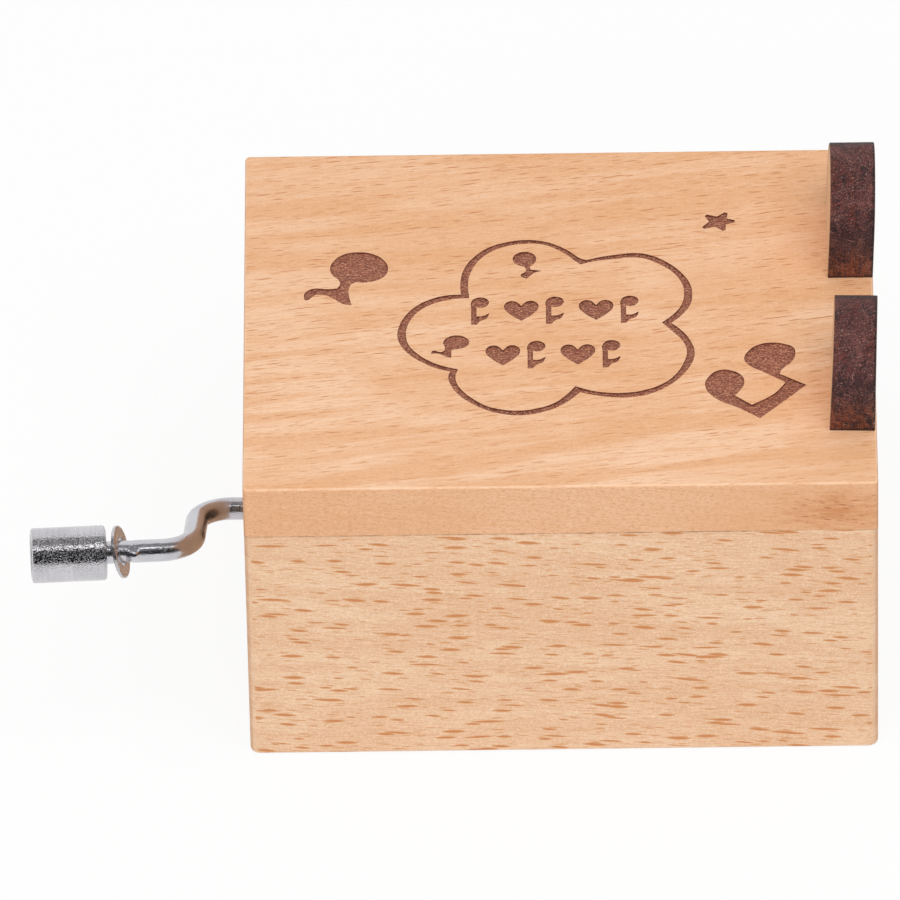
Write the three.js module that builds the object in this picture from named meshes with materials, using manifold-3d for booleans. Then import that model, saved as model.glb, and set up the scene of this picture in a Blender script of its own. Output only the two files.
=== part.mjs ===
// Hand crank music box: a beech case with two ears on its lid, and an 18-note movement inside.
// Millimetres, +Z up. The origin is the centre of the underside.
// The lid is on top, the crank leaves at +X, and the ears stand at the -X end.

import * as THREE from 'three';
import { mergeVertices } from 'three/addons/utils/BufferGeometryUtils.js';
import Module from 'manifold-3d';

const wasm = await Module();
wasm.setup();

// Driving dimensions

// Clearances and overruns
const runningFit = 0.15;          // radial room of a turning journal
const looseFit = 0.3;             // radial room of a screw or a plug in its hole
const boardFit = 0.2;             // room around the bottom plate in its rebate
const overrun = 0.5;              // how far a cutting tool passes a face

// Case, lid and bottom plate
const wall = 5;
const lidThickness = 6.5;
const headroom = 11.1;            // crank axis to the underside of the lid
const roomBehind = 6;             // movement base to the cavity, along X, at the ear end
const roomAhead = 3;              // the same at the crank end
const roomLeft = 2.5;             // movement base to the cavity, along Y, at the bearing post
const roomRight = 1.4;            // the same at the bracket
const caseCorner = 1;             // rounding of the case's upright edges
const lidCorner = 0.5;
const cavityCorner = 7;
const plateThickness = 3;
const ledge = 3;                  // how far the plate overlaps the wall
const crankHoleRadius = 3.5;

// Ears
const earThickness = 4.6;
const earWidth = 11.55;
const earStraight = 5.6;          // upright side below the half-round top
const earSpacing = 10.9;          // between the ears
const earFrontLean = THREE.MathUtils.degToRad(1.9);  // tops lean outwards, past the box's end
const earRearLean = THREE.MathUtils.degToRad(2.2);
const earRearShift = 0.3;         // the rear ear was glued a little outwards
const earRearTurn = THREE.MathUtils.degToRad(1.8);   // and askew, seen from above

// Movement base
const baseThickness = 2;
const baseCorner = 2;
const combMargin = 2;             // base edge to the back of the comb
const frontMargin = 10;           // cylinder axis to the base's front edge
const postMargin = 1.3;
const postThickness = 1.4;
const postHalfWidth = 3;
const footMargin = 0.3;
const windowHalfLength = 5.5;     // opening in the base under the cylinder
const bossRadius = 2.5;
const bossHeight = 2;
const bossInset = 3;              // boss centre to the base's edges

// Pinned cylinder
const cylinderRadius = 6.5;
const cylinderWall = 0.8;
const cylinderLength = 19.5;
const cylinderEndGap = 0.7;       // post to cylinder
const cylinderLift = 0.35;        // base to pins
const pinHeight = 0.35;
const pinWidth = 0.34;
const arborRadius = 0.6;
const arborOverhang = 0.4;        // arbor past the post and the bracket
const plugLength = 2;
const noteCount = 18;
const pinsPerNote = 5;
const pinSteps = 40;              // places for a pin round the cylinder

// Comb
const combLength = 25.85;
const combThickness = 1;
const combEndRoom = 0.15;         // comb's side to the cylinder's end
const toothSlot = 0.24;
const combTipGap = 0.3;           // tooth tip to pin
const combSideMargin = 0.6;       // the block past the outer teeth
const bassToothLength = 15.5;
const trebleToothLength = 9.5;
const weightCount = 6;
const weightLength = 5;           // of the lowest note, the others are shorter
const weightHeight = 1.6;
const weightSetBack = 1.8;        // tooth tip to weight

// Worm gear
const gearModule = 0.6;
const gearTeeth = 16;
const wormPitchRadius = 2.4;
const gearWidth = 3;
const gearGap = 2.1;              // cylinder to gear
const backlash = 0.19;            // taken off each gear tooth
const toothRootRoom = 0.15;
const flankShare = 0.36;          // how far a gear tooth's flanks lean in, of its height
const rootFlareShare = 1.1;       // and out below the pitch line, of that lean
const crestShare = 0.125;         // half width of the worm thread's crest, of its lead
const rootShare = 0.3125;         // crest centre to the foot of its flank, of its lead
const hubRadius = 1.7;
const wormLength = 9.4;

// Crank bracket
const sheet = 1;
const bracketGap = 2;             // gear to bracket
const bracketHalfLength = 7;      // cylinder axis to the inside of each cheek
const footLength = 4.8;
const cheekRadius = 3.4;          // round the crank shaft
const bendRelief = 1.2;
const bracketScrewShare = 0.62;   // cylinder axis to each foot screw, of bracketHalfLength

// Worm shaft
const innerJournalRadius = 1;
const outerJournalRadius = 2;
const collarRadius = 2.7;
const collarLength = 0.6;
const collarGap = 0.2;            // collar to cheek
const journalOverhang = 3;        // outer journal past its cheek
const clipThickness = 0.5;
const clipRadius = 2;
const clipGrooveDepth = 0.35;
const innerOverhang = 1.6;        // inner journal past its cheek
const boreDepth = 6;

// Crank wire, knob and washer
const wireRadius = 1.15;
const bendRadius = 3.5;           // at the wire's centre line
const crankReach = 1.6;           // straight wire outside the wall
const armLength = 3.5;            // straight wire between the bends
const armLean = THREE.MathUtils.degToRad(3.1);       // of the arm, away from the case
const handleSplay = THREE.MathUtils.degToRad(4.5);   // of the handle, away from the crank axis
const crankRise = THREE.MathUtils.degToRad(19.3);    // arm above +Y, as photographed
const handleLength = 12.95;       // second bend to the wire's end
const knobRadius = 2.8;
const knobLength = 7.6;
const knobChamfer = 0.2;
const knobRecess = 0.35;          // wire end below the knob's face
const rivetRadius = 1.75;
const rivetLength = 0.6;
const counterboreRadius = 2.15;
const counterboreDepth = 1.25;
const washerRadius = 2.7;
const washerHoleRadius = 1.45;
const washerThickness = 0.45;
const washerTurn = THREE.MathUtils.degToRad(12.5);   // how the loose washer hangs askew
const washerNod = THREE.MathUtils.degToRad(13);
const washerGap = 1.5;            // knob to the washer's centre
const lugGap = 0.9;               // washer's centre to the stop lugs pressed out of the wire
const lugLength = 1;
const lugReach = 1.6;
const lugWidth = 1.1;

// Screws
const screwHeadSink = 0.25;       // heads below the plate's face
const woodScrewRadius = 0.9;
const woodScrewHeadRadius = 1.8;
const woodScrewLength = 9;
const woodScrewInset = 0.8;       // screw axis to the cavity's flat sides
const mountScrewRadius = 1.1;
const mountScrewHeadRadius = 2;
const panScrewRadius = 1;
const panHeadRadius = 1.8;
const panHeadHeight = 1.2;
const panShoulderShare = 0.6;     // of the head's height that is upright
const panCrownShare = 0.8;        // of the head's radius that is flat on top
const panScrewDepth = 4;          // below what it clamps
const bracketScrewDepth = 1.6;
const combWasherRadius = 2.4;
const combWasherThickness = 0.4;
const driveWidth = 0.45;          // of a screw's slot or cross
const driveDepth = 0.5;

// How finely round shapes are divided
const roundSteps = 32;
const smallRoundSteps = 16;
const wireSides = 12;
const wireStepShare = 0.65;       // length of a step along the wire, of its radius
const angleSteps = 16;            // round the worm
const stepsPerTurn = 8;           // along one turn of the thread

// Sizes that follow

const toothHeight = gearModule;
const wormOuterRadius = wormPitchRadius + toothHeight;
const wormRootRadius = wormPitchRadius - toothHeight - toothRootRoom;
const gearPitchRadius = gearModule * gearTeeth / 2;
const gearOuterRadius = gearPitchRadius + toothHeight;
const gearRootRadius = gearPitchRadius - toothHeight - toothRootRoom;
const wormLead = Math.PI * gearModule;

// A longer cylinder carries a wider comb, with its teeth and pins further apart
const combWidth = cylinderLength - 2 * combEndRoom;
const toothPitch = (combWidth - 2 * combSideMargin) / noteCount;
const combTipReach = cylinderRadius + pinHeight + combTipGap;
const baseLength = combMargin + combLength + combTipReach + frontMargin;
const bracketDepth = sheet + footLength;
const baseWidth = postMargin + postThickness + cylinderEndGap + cylinderLength + gearGap
  + gearWidth + bracketGap + bracketDepth + footMargin;

const cavityLength = roomBehind + baseLength + roomAhead;
const cavityWidth = roomLeft + baseWidth + roomRight;
const caseLength = cavityLength + 2 * wall;
const caseWidth = cavityWidth + 2 * wall;

// Levels
const baseTop = plateThickness + baseThickness;
const cylinderZ = baseTop + cylinderLift + pinHeight + cylinderRadius;
const crankZ = cylinderZ + gearPitchRadius + wormPitchRadius;
const caseHeight = crankZ + headroom;
const lidTop = caseHeight + lidThickness;
const combBottom = cylinderZ - combThickness / 2;

// Places along X
const caseEnd = caseLength / 2;
const baseBackX = -cavityLength / 2 + roomBehind;
const baseFrontX = baseBackX + baseLength;
const combBackX = baseBackX + combMargin;
const combTipX = combBackX + combLength;
const cylinderX = combTipX + combTipReach;
const innerCheekX = cylinderX - bracketHalfLength;
const outerCheekX = cylinderX + bracketHalfLength;

// Places along Y
const baseLeftY = -cavityWidth / 2 + roomLeft;
const baseRightY = baseLeftY + baseWidth;
const postY = baseLeftY + postMargin;
const cylinderStartY = postY + postThickness + cylinderEndGap;
const cylinderEndY = cylinderStartY + cylinderLength;
const gearY = cylinderEndY + gearGap;
const crankY = gearY + gearWidth / 2;
const webY = gearY + gearWidth + bracketGap;
const combCentreY = (cylinderStartY + cylinderEndY) / 2;

// Materials

function finish(color, roughness, metalness) {
  return new THREE.MeshStandardMaterial({ color, roughness, metalness });
}

const beech = () => finish(0xe6bf98, 0.6, 0);
const burntEdge = () => finish(0x5a3a30, 0.7, 0);
const plywood = () => finish(0xd9b98c, 0.7, 0);
const nickelPlate = () => finish(0xc9c6c0, 0.25, 1);
const zincPlate = () => finish(0xb8bcc0, 0.35, 1);
const castZinc = () => finish(0x9a9c9e, 0.5, 1);
const springSteel = () => finish(0xa9abad, 0.3, 1);
const brass = () => finish(0xc9a14a, 0.3, 1);
const nylon = () => finish(0xe9e6dc, 0.45, 0);

// Solids: joining, cutting and turning shapes into closed meshes

function solidOf(geometry) {
  const bare = geometry.clone();
  bare.deleteAttribute('normal');
  bare.deleteAttribute('uv');
  const merged = mergeVertices(bare);
  return new wasm.Manifold(new wasm.Mesh({
    numProp: 3,
    vertProperties: new Float32Array(merged.attributes.position.array),
    triVerts: new Uint32Array(merged.index.array),
  }));
}

function geometryOf(solid) {
  const mesh = solid.getMesh();
  const geometry = new THREE.BufferGeometry();
  geometry.setAttribute('position', new THREE.BufferAttribute(mesh.vertProperties, 3));
  geometry.setIndex(new THREE.BufferAttribute(mesh.triVerts, 1));
  geometry.computeVertexNormals();
  return geometry;
}

function combine(geometry, joined, removed) {
  let solid = solidOf(geometry);
  for (const piece of joined) solid = solid.add(solidOf(piece));
  for (const piece of removed) solid = solid.subtract(solidOf(piece));
  return geometryOf(solid);
}

const join = (geometry, ...pieces) => combine(geometry, pieces, []);
const cut = (geometry, ...pieces) => combine(geometry, [], pieces);

// Outlines

function roundedRectangle(length, width, radius) {
  const x = length / 2;
  const y = width / 2;
  const shape = new THREE.Shape();
  shape.moveTo(-x + radius, -y);
  shape.lineTo(x - radius, -y);
  shape.absarc(x - radius, -y + radius, radius, -Math.PI / 2, 0);
  shape.lineTo(x, y - radius);
  shape.absarc(x - radius, y - radius, radius, 0, Math.PI / 2);
  shape.lineTo(-x + radius, y);
  shape.absarc(-x + radius, y - radius, radius, Math.PI / 2, Math.PI);
  shape.lineTo(-x, -y + radius);
  shape.absarc(-x + radius, -y + radius, radius, Math.PI, Math.PI * 1.5);
  return shape;
}

// A tab that stands on y = 0 and ends in a half circle about y = straight
function tab(halfWidth, straight) {
  const shape = new THREE.Shape();
  shape.moveTo(-halfWidth, 0);
  shape.lineTo(halfWidth, 0);
  shape.lineTo(halfWidth, straight);
  shape.absarc(0, straight, halfWidth, 0, Math.PI);
  shape.lineTo(-halfWidth, 0);
  return shape;
}

function polygon(points) {
  return new THREE.Shape(points.map(([x, y]) => new THREE.Vector2(x, y)));
}

// Blocks and round pieces, each from its lower face up

function slab(shape, thickness, curveSegments = 4) {
  return new THREE.ExtrudeGeometry(shape, {
    depth: thickness, bevelEnabled: false, steps: 1, curveSegments,
  });
}

function block(lowX, highX, lowY, highY, lowZ, highZ) {
  const geometry = new THREE.BoxGeometry(highX - lowX, highY - lowY, highZ - lowZ);
  return geometry.translate((lowX + highX) / 2, (lowY + highY) / 2, (lowZ + highZ) / 2);
}

// A turned solid about +Z: pairs of radius and height, from the axis round to the axis
function turned(profile, steps = smallRoundSteps) {
  return new THREE.LatheGeometry(profile.map(([r, z]) => new THREE.Vector2(r, z)), steps)
    .rotateX(Math.PI / 2);
}

function rod(radius, low, high, steps = smallRoundSteps) {
  return turned([[0, low], [radius, low], [radius, high], [0, high]], steps);
}

function sleeve(outer, inner, low, high, steps = smallRoundSteps) {
  return turned([[inner, low], [outer, low], [outer, high], [inner, high], [inner, low]], steps);
}

const alongX = (geometry) => geometry.rotateY(Math.PI / 2);
const alongY = (geometry) => geometry.rotateX(-Math.PI / 2);

// The part

const musicBox = new THREE.Group();

function place(name, geometry, material, parent = musicBox) {
  const mesh = new THREE.Mesh(geometry, material);
  mesh.name = name;
  parent.add(mesh);
  return mesh;
}

// Case

const screwX = cavityLength / 2 - woodScrewInset;
const screwY = cavityWidth / 2 - woodScrewInset;
const bottomScrewPlaces = [[-1, -1], [1, -1], [1, 1], [-1, 1]].map(([x, y]) => [x * screwX, y * screwY]);
const mountScrewPlaces = [
  [baseBackX + bossInset, baseLeftY + bossInset],
  [baseBackX + bossInset, baseRightY - bossInset],
  [baseFrontX - bossInset, baseLeftY + bossInset],
];

function caseBody() {
  const outside = slab(roundedRectangle(caseLength, caseWidth, caseCorner), caseHeight);
  const cavity = slab(roundedRectangle(cavityLength, cavityWidth, cavityCorner), caseHeight + 2 * overrun, 6)
    .translate(0, 0, -overrun);
  const rebate = slab(
    roundedRectangle(cavityLength + 2 * ledge, cavityWidth + 2 * ledge, caseCorner),
    plateThickness + overrun,
  ).translate(0, 0, -overrun);
  const crankHole = alongX(rod(crankHoleRadius, 0, wall + 2 * overrun, 24))
    .translate(cavityLength / 2 - overrun, crankY, crankZ);
  const pilotTop = screwHeadSink + woodScrewLength + looseFit;
  const pilots = bottomScrewPlaces.map(([x, y]) => (
    rod(woodScrewRadius + looseFit, plateThickness - overrun, pilotTop, 12).translate(x, y, 0)));
  return cut(outside, cavity, rebate, crankHole, ...pilots);
}

// Countersunk hole from the underside, up through a board
function countersunkHole(headRadius, shankRadius, thickness) {
  const rim = headRadius + looseFit;
  const neck = shankRadius + looseFit;
  const coneTop = screwHeadSink + rim - neck;
  return turned([
    [0, -overrun], [rim, -overrun], [rim, screwHeadSink], [neck, coneTop],
    [neck, thickness + overrun], [0, thickness + overrun],
  ]);
}

function bottomPlate() {
  const board = slab(roundedRectangle(
    cavityLength + 2 * (ledge - boardFit), cavityWidth + 2 * (ledge - boardFit), caseCorner,
  ), plateThickness);
  const holes = [
    ...bottomScrewPlaces.map(([x, y]) => (
      countersunkHole(woodScrewHeadRadius, woodScrewRadius, plateThickness).translate(x, y, 0))),
    ...mountScrewPlaces.map(([x, y]) => (
      countersunkHole(mountScrewHeadRadius, mountScrewRadius, plateThickness).translate(x, y, 0))),
  ];
  return cut(board, ...holes);
}

// A cross or a slot in a head whose face is at z = 0, cut upwards
function driveSlots(headRadius, crossed) {
  const reach = crossed ? headRadius / 2 : headRadius + overrun;
  const half = driveWidth / 2;
  const slots = [block(-reach, reach, -half, half, -overrun, driveDepth)];
  if (crossed) slots.push(block(-half, half, -reach, reach, -overrun, driveDepth));
  return slots;
}

// Countersunk screw with its face at z = 0, up to the start of its tip
function screwProfile(headRadius, shankRadius, shankEnd) {
  return [[0, 0], [headRadius, 0], [shankRadius, headRadius - shankRadius], [shankRadius, shankEnd]];
}

function woodScrew(headRadius, shankRadius, length) {
  const body = turned([...screwProfile(headRadius, shankRadius, length - shankRadius), [0, length]]);
  return cut(body, ...driveSlots(headRadius, true));
}

function machineScrew(headRadius, shankRadius, length) {
  const body = turned([...screwProfile(headRadius, shankRadius, length), [0, length]]);
  return cut(body, ...driveSlots(headRadius, true));
}

place('case_body', caseBody(), beech());
place('lid', slab(roundedRectangle(caseLength, caseWidth, lidCorner), lidThickness), beech())
  .position.z = caseHeight;
place('bottom_plate', bottomPlate(), plywood());
bottomScrewPlaces.forEach(([x, y], index) => {
  const screw = woodScrew(woodScrewHeadRadius, woodScrewRadius, woodScrewLength);
  place(`bottom_screw_${index + 1}`, screw, zincPlate()).position.set(x, y, screwHeadSink);
});

// Ears

function ear(lean) {
  const outwards = new THREE.Matrix4().makeShear(0, 0, 0, 0, -Math.tan(lean), 0);
  return slab(tab(earWidth / 2, earStraight), earThickness, 10)
    .rotateX(Math.PI / 2)
    .rotateZ(Math.PI / 2)
    .translate(-earThickness / 2, 0, 0)
    .applyMatrix4(outwards);
}

const earX = -caseEnd + earThickness / 2;
const earY = (earSpacing + earWidth) / 2;
place('ear_front', ear(earFrontLean), burntEdge()).position.set(earX, -earY, lidTop);
const earRear = place('ear_rear', ear(earRearLean), burntEdge());
earRear.position.set(earX, earY + earRearShift, lidTop);
earRear.rotation.z = -earRearTurn;

// Movement base

const combScrewX = combBackX + combMargin + combWasherRadius;
const combHalfWidth = combWidth / 2;
const combScrewPlaces = [-1, 1].map((side) => [combScrewX, combCentreY + side * combHalfWidth / 2]);
const bracketScrewY = webY + sheet + footLength / 2;
const bracketScrewReach = bracketHalfLength * bracketScrewShare;
const bracketScrewPlaces = [-1, 1].map((side) => [cylinderX + side * bracketScrewReach, bracketScrewY]);
const pedestalLength = combLength - bassToothLength - toothPitch;

function movementBase() {
  const plate = slab(roundedRectangle(baseLength, baseWidth, baseCorner), baseThickness)
    .translate((baseBackX + baseFrontX) / 2, (baseLeftY + baseRightY) / 2, plateThickness);
  const pedestal = block(combBackX, combBackX + pedestalLength,
    combCentreY - combHalfWidth, combCentreY + combHalfWidth, baseTop - baseThickness / 2, combBottom);
  const postFoot = baseTop - baseThickness / 2;
  const post = slab(tab(postHalfWidth, cylinderZ - postFoot), postThickness, 8)
    .rotateX(Math.PI / 2)
    .translate(cylinderX, postY + postThickness, postFoot);
  const bosses = mountScrewPlaces.map(([x, y]) => (
    rod(bossRadius, plateThickness, baseTop + bossHeight).translate(x, y, 0)));
  const windowCut = block(cylinderX - windowHalfLength, cylinderX + windowHalfLength,
    cylinderStartY, cylinderEndY, plateThickness - overrun, baseTop + overrun);
  const arborHole = alongY(rod(arborRadius + runningFit, -overrun, postThickness + overrun, 12))
    .translate(cylinderX, postY, cylinderZ);
  const bossHoles = mountScrewPlaces.map(([x, y]) => (
    rod(mountScrewRadius + looseFit, plateThickness - overrun, baseTop + bossHeight + overrun, 12)
      .translate(x, y, 0)));
  const combHoles = combScrewPlaces.map(([x, y]) => (
    rod(panScrewRadius + looseFit, combBottom - panScrewDepth - looseFit, combBottom + overrun, 12)
      .translate(x, y, 0)));
  const bracketHoles = bracketScrewPlaces.map(([x, y]) => (
    rod(panScrewRadius + looseFit, plateThickness - overrun, baseTop + overrun, 12).translate(x, y, 0)));
  return combine(plate, [pedestal, post, ...bosses],
    [windowCut, arborHole, ...bossHoles, ...combHoles, ...bracketHoles]);
}

// Pan head screw whose head's underside is at z = 0 and whose shank points down
function panScrew(depth) {
  const body = turned([
    [0, -depth], [panScrewRadius, -depth], [panScrewRadius, 0], [panHeadRadius, 0],
    [panHeadRadius, panHeadHeight * panShoulderShare], [panHeadRadius * panCrownShare, panHeadHeight],
    [0, panHeadHeight],
  ]);
  const slots = driveSlots(panHeadRadius, false)
    .map((slot) => slot.rotateX(Math.PI).translate(0, 0, panHeadHeight));
  return cut(body, ...slots);
}

place('movement_base', movementBase(), castZinc());
mountScrewPlaces.forEach(([x, y], index) => {
  const length = baseTop + bossHeight - screwHeadSink;
  const screw = machineScrew(mountScrewHeadRadius, mountScrewRadius, length);
  place(`mounting_screw_${index + 1}`, screw, zincPlate()).position.set(x, y, screwHeadSink);
});

// Comb: the longest tooth is at -Y, and the slots' roots lie on a slanting line

function comb() {
  const backX = combBackX;
  const tipX = combTipX;
  const lowY = combCentreY - combHalfWidth;
  const highY = combCentreY + combHalfWidth;
  const firstTooth = combCentreY - noteCount * toothPitch / 2;
  const outline = slab(polygon([[backX, lowY], [tipX, lowY], [tipX, highY], [backX, highY]]), combThickness)
    .translate(0, 0, combBottom);
  const rootAt = (share) => tipX - THREE.MathUtils.lerp(bassToothLength, trebleToothLength, share);
  const slotAt = (y, share, width) => block(rootAt(share), tipX + overrun,
    y - width / 2, y + width / 2, combBottom - overrun, combBottom + combThickness + overrun);
  const slots = [];
  for (let tooth = 1; tooth < noteCount; tooth += 1) {
    slots.push(slotAt(firstTooth + tooth * toothPitch, tooth / noteCount, toothSlot));
  }
  const trim = combSideMargin * 2;
  slots.push(slotAt(lowY, 0, trim), slotAt(highY, 1, trim));
  const weights = [];
  for (let tooth = 0; tooth < weightCount; tooth += 1) {
    const length = weightLength * (1 - tooth / (weightCount + 1));
    const middle = firstTooth + (tooth + 0.5) * toothPitch;
    const half = (toothPitch - toothSlot) / 2;
    weights.push(block(tipX - weightSetBack - length, tipX - weightSetBack,
      middle - half, middle + half, combBottom - weightHeight, combBottom + combThickness / 2));
  }
  const holes = combScrewPlaces.map(([x, y]) => (
    rod(panScrewRadius + looseFit, combBottom - overrun, combBottom + combThickness + overrun, 12)
      .translate(x, y, 0)));
  return combine(outline, weights, [...slots, ...holes]);
}

place('comb', comb(), springSteel());
combScrewPlaces.forEach(([x, y], index) => {
  const combTop = combBottom + combThickness;
  const washer = sleeve(combWasherRadius, panScrewRadius + looseFit, 0, combWasherThickness);
  place(`comb_washer_${index + 1}`, washer, zincPlate()).position.set(x, y, combTop);
  place(`comb_screw_${index + 1}`, panScrew(panScrewDepth + combThickness), zincPlate())
    .position.set(x, y, combTop + combWasherThickness);
});

// Pinned cylinder and what turns with it

const cylinderGroup = new THREE.Group();
cylinderGroup.position.set(cylinderX, cylinderStartY, cylinderZ);
musicBox.add(cylinderGroup);

// The pins walk up and down the notes in a plain run, with a few chords
function pinPlaces() {
  const places = [];
  for (let note = 0; note < noteCount; note += 1) {
    for (let count = 0; count < pinsPerNote; count += 1) {
      const step = (note * 3 + count * 7 + (count % 2) * (note % 4)) % pinSteps;
      places.push([note, step]);
    }
  }
  return places;
}

function pinnedCylinder() {
  const tube = sleeve(cylinderRadius, cylinderRadius - cylinderWall, 0, cylinderLength, pinSteps);
  const firstNote = combCentreY - cylinderStartY - (noteCount - 1) * toothPitch / 2;
  const tip = cylinderRadius + pinHeight;
  const half = pinWidth / 2;
  const taken = new Set();
  const pins = [];
  for (const [note, step] of pinPlaces()) {
    const key = `${note} ${step}`;
    if (!taken.has(key)) {
      taken.add(key);
      const y = firstNote + note * toothPitch;
      pins.push(block(cylinderRadius - cylinderWall / 2, tip, -half, half, y - half, y + half)
        .rotateZ((step + 0.5) * 2 * Math.PI / pinSteps));
    }
  }
  return alongY(join(tube, ...pins));
}

// Gear about +Z, with its lower face at z = 0. A gap faces angle 0.
function gearOutline() {
  const points = [];
  const pitchAngle = 2 * Math.PI / gearTeeth;
  const halfTooth = (wormLead / 2 - backlash) / 2;
  const flank = toothHeight * flankShare;
  const flare = flank * rootFlareShare;
  const corners = [
    [gearRootRadius, -(halfTooth + flare)], [gearOuterRadius, -(halfTooth - flank)],
    [gearOuterRadius, halfTooth - flank], [gearRootRadius, halfTooth + flare],
  ];
  for (let tooth = 0; tooth < gearTeeth; tooth += 1) {
    for (const [radius, along] of corners) {
      const angle = (tooth + 0.5) * pitchAngle + along / gearPitchRadius;
      points.push([radius * Math.cos(angle), radius * Math.sin(angle)]);
    }
  }
  return polygon(points);
}

function driveGear() {
  const toothed = slab(gearOutline(), gearWidth);
  const slant = Math.atan2(wormLead, 2 * Math.PI * wormPitchRadius);
  const position = toothed.attributes.position;
  const point = new THREE.Vector3();
  const axis = new THREE.Vector3(0, 0, 1);
  for (let index = 0; index < position.count; index += 1) {
    point.fromBufferAttribute(position, index);
    const turn = (point.z - gearWidth / 2) * Math.tan(slant) / gearPitchRadius;
    point.applyAxisAngle(axis, turn);
    position.setXYZ(index, point.x, point.y, point.z);
  }
  const plugRadius = cylinderRadius - cylinderWall - looseFit;
  const plug = rod(plugRadius, -gearGap - plugLength, -gearGap + runningFit, 24);
  const neck = rod(hubRadius * 2, -gearGap, 0, 24);
  const hub = rod(hubRadius, 0, gearWidth + bracketGap - looseFit);
  const bore = rod(arborRadius + looseFit, -gearGap - plugLength - overrun,
    gearWidth + bracketGap + overrun, 12);
  return combine(toothed, [plug, neck, hub], [bore]);
}

function cylinderPlug() {
  return alongY(sleeve(cylinderRadius - cylinderWall - looseFit, arborRadius + looseFit, 0, plugLength, 24));
}

place('cylinder', pinnedCylinder(), brass(), cylinderGroup);
place('cylinder_plug', cylinderPlug(), nylon(), cylinderGroup);
const gearTurn = Math.PI / 2;     // brings a gap up to the worm
place('drive_gear', alongY(driveGear().rotateZ(gearTurn)), nylon(), cylinderGroup)
  .position.y = cylinderLength + gearGap;
const arborStart = postY - cylinderStartY - arborOverhang;
const arborEnd = webY + sheet + arborOverhang - cylinderStartY;
place('cylinder_arbor', alongY(rod(arborRadius, arborStart, arborEnd, 12)), springSteel(), cylinderGroup);

// Crank bracket: a foot, a web behind the gear, and two cheeks that carry the worm shaft

const webTop = crankZ + cheekRadius;

function crankBracket() {
  const lowX = innerCheekX - sheet;
  const highX = outerCheekX + sheet;
  const web = block(lowX, highX, webY, webY + sheet, baseTop, webTop);
  const foot = block(lowX, highX, webY, webY + bracketDepth, baseTop, baseTop + sheet);
  const cheek = (x) => {
    const round = alongX(rod(cheekRadius, 0, sheet, 24)).translate(x, crankY, crankZ);
    const arm = block(x, x + sheet, crankY, webY + sheet / 2, crankZ - cheekRadius, crankZ + cheekRadius);
    return [round, arm];
  };
  const innerHole = alongX(rod(innerJournalRadius + runningFit, -overrun, sheet + overrun))
    .translate(lowX, crankY, crankZ);
  const outerHole = alongX(rod(outerJournalRadius + runningFit, -overrun, sheet + overrun))
    .translate(outerCheekX, crankY, crankZ);
  const arborHole = alongY(rod(arborRadius + runningFit, -overrun, sheet + overrun, 12))
    .translate(cylinderX, webY, cylinderZ);
  const relief = (x) => block(x - bendRelief, x + bendRelief, webY - overrun, webY + sheet + overrun,
    crankZ - cheekRadius - bendRelief, crankZ - cheekRadius);
  const screwHoles = bracketScrewPlaces.map(([x, y]) => (
    rod(panScrewRadius + looseFit, baseTop - overrun, baseTop + sheet + overrun, 12).translate(x, y, 0)));
  return combine(web, [foot, ...cheek(lowX), ...cheek(outerCheekX)],
    [innerHole, outerHole, arborHole, relief(lowX), relief(highX), ...screwHoles]);
}

place('crank_bracket', crankBracket(), zincPlate());
bracketScrewPlaces.forEach(([x, y], index) => {
  place(`bracket_screw_${index + 1}`, panScrew(sheet + bracketScrewDepth), zincPlate())
    .position.set(x, y, baseTop + sheet);
});

// Crank: the worm shaft and the bent wire that screws into it, about the crank axis

const crankGroup = new THREE.Group();
crankGroup.position.set(cylinderX, crankY, crankZ);
musicBox.add(crankGroup);

// Share of the thread's height, for a phase of 0 to 1 along one turn. The crest is at 0.
function threadShare(phase) {
  const away = Math.abs(phase - Math.round(phase));
  return 1 - THREE.MathUtils.clamp((away - crestShare) / (rootShare - crestShare), 0, 1);
}

function wormThread() {
  const heightSteps = Math.round(stepsPerTurn * wormLength / wormLead);
  const geometry = new THREE.CylinderGeometry(1, 1, wormLength, angleSteps, heightSteps);
  geometry.rotateX(Math.PI / 2);
  const position = geometry.attributes.position;
  for (let index = 0; index < position.count; index += 1) {
    const x = position.getX(index);
    const y = position.getY(index);
    const z = position.getZ(index);
    const reach = Math.hypot(x, y);
    const angle = Math.atan2(y, x);
    const runOut = Math.abs(z) > wormLength / 2 - wormLead / stepsPerTurn ? 0 : 1;
    const share = threadShare(z / wormLead - angle / (2 * Math.PI)) * runOut;
    const radius = reach * THREE.MathUtils.lerp(wormRootRadius, wormOuterRadius, share);
    position.setXYZ(index, radius * Math.cos(angle), radius * Math.sin(angle), z);
  }
  return geometry;
}

const clipStart = -bracketHalfLength - sheet - clipThickness - collarGap;

function worm() {
  const innerEnd = -bracketHalfLength - sheet - innerOverhang;
  const groove = innerJournalRadius - clipGrooveDepth;
  const innerJournal = turned([
    [0, innerEnd], [innerJournalRadius, innerEnd], [innerJournalRadius, clipStart - collarGap],
    [groove, clipStart - collarGap], [groove, clipStart + clipThickness + collarGap / 2],
    [innerJournalRadius, clipStart + clipThickness + collarGap / 2],
    [innerJournalRadius, 0], [0, 0],
  ]);
  const collarEnd = bracketHalfLength - collarGap;
  const outerEnd = bracketHalfLength + sheet + journalOverhang;
  const outerJournal = turned([
    [0, 0], [wormRootRadius, 0], [wormRootRadius, collarEnd - collarLength],
    [collarRadius, collarEnd - collarLength], [collarRadius, collarEnd],
    [outerJournalRadius, collarEnd], [outerJournalRadius, outerEnd], [0, outerEnd],
  ]);
  const bore = rod(wireRadius + looseFit, outerEnd - boreDepth, outerEnd + overrun, 12);
  return combine(wormThread(), [innerJournal, outerJournal], [bore]);
}

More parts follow.
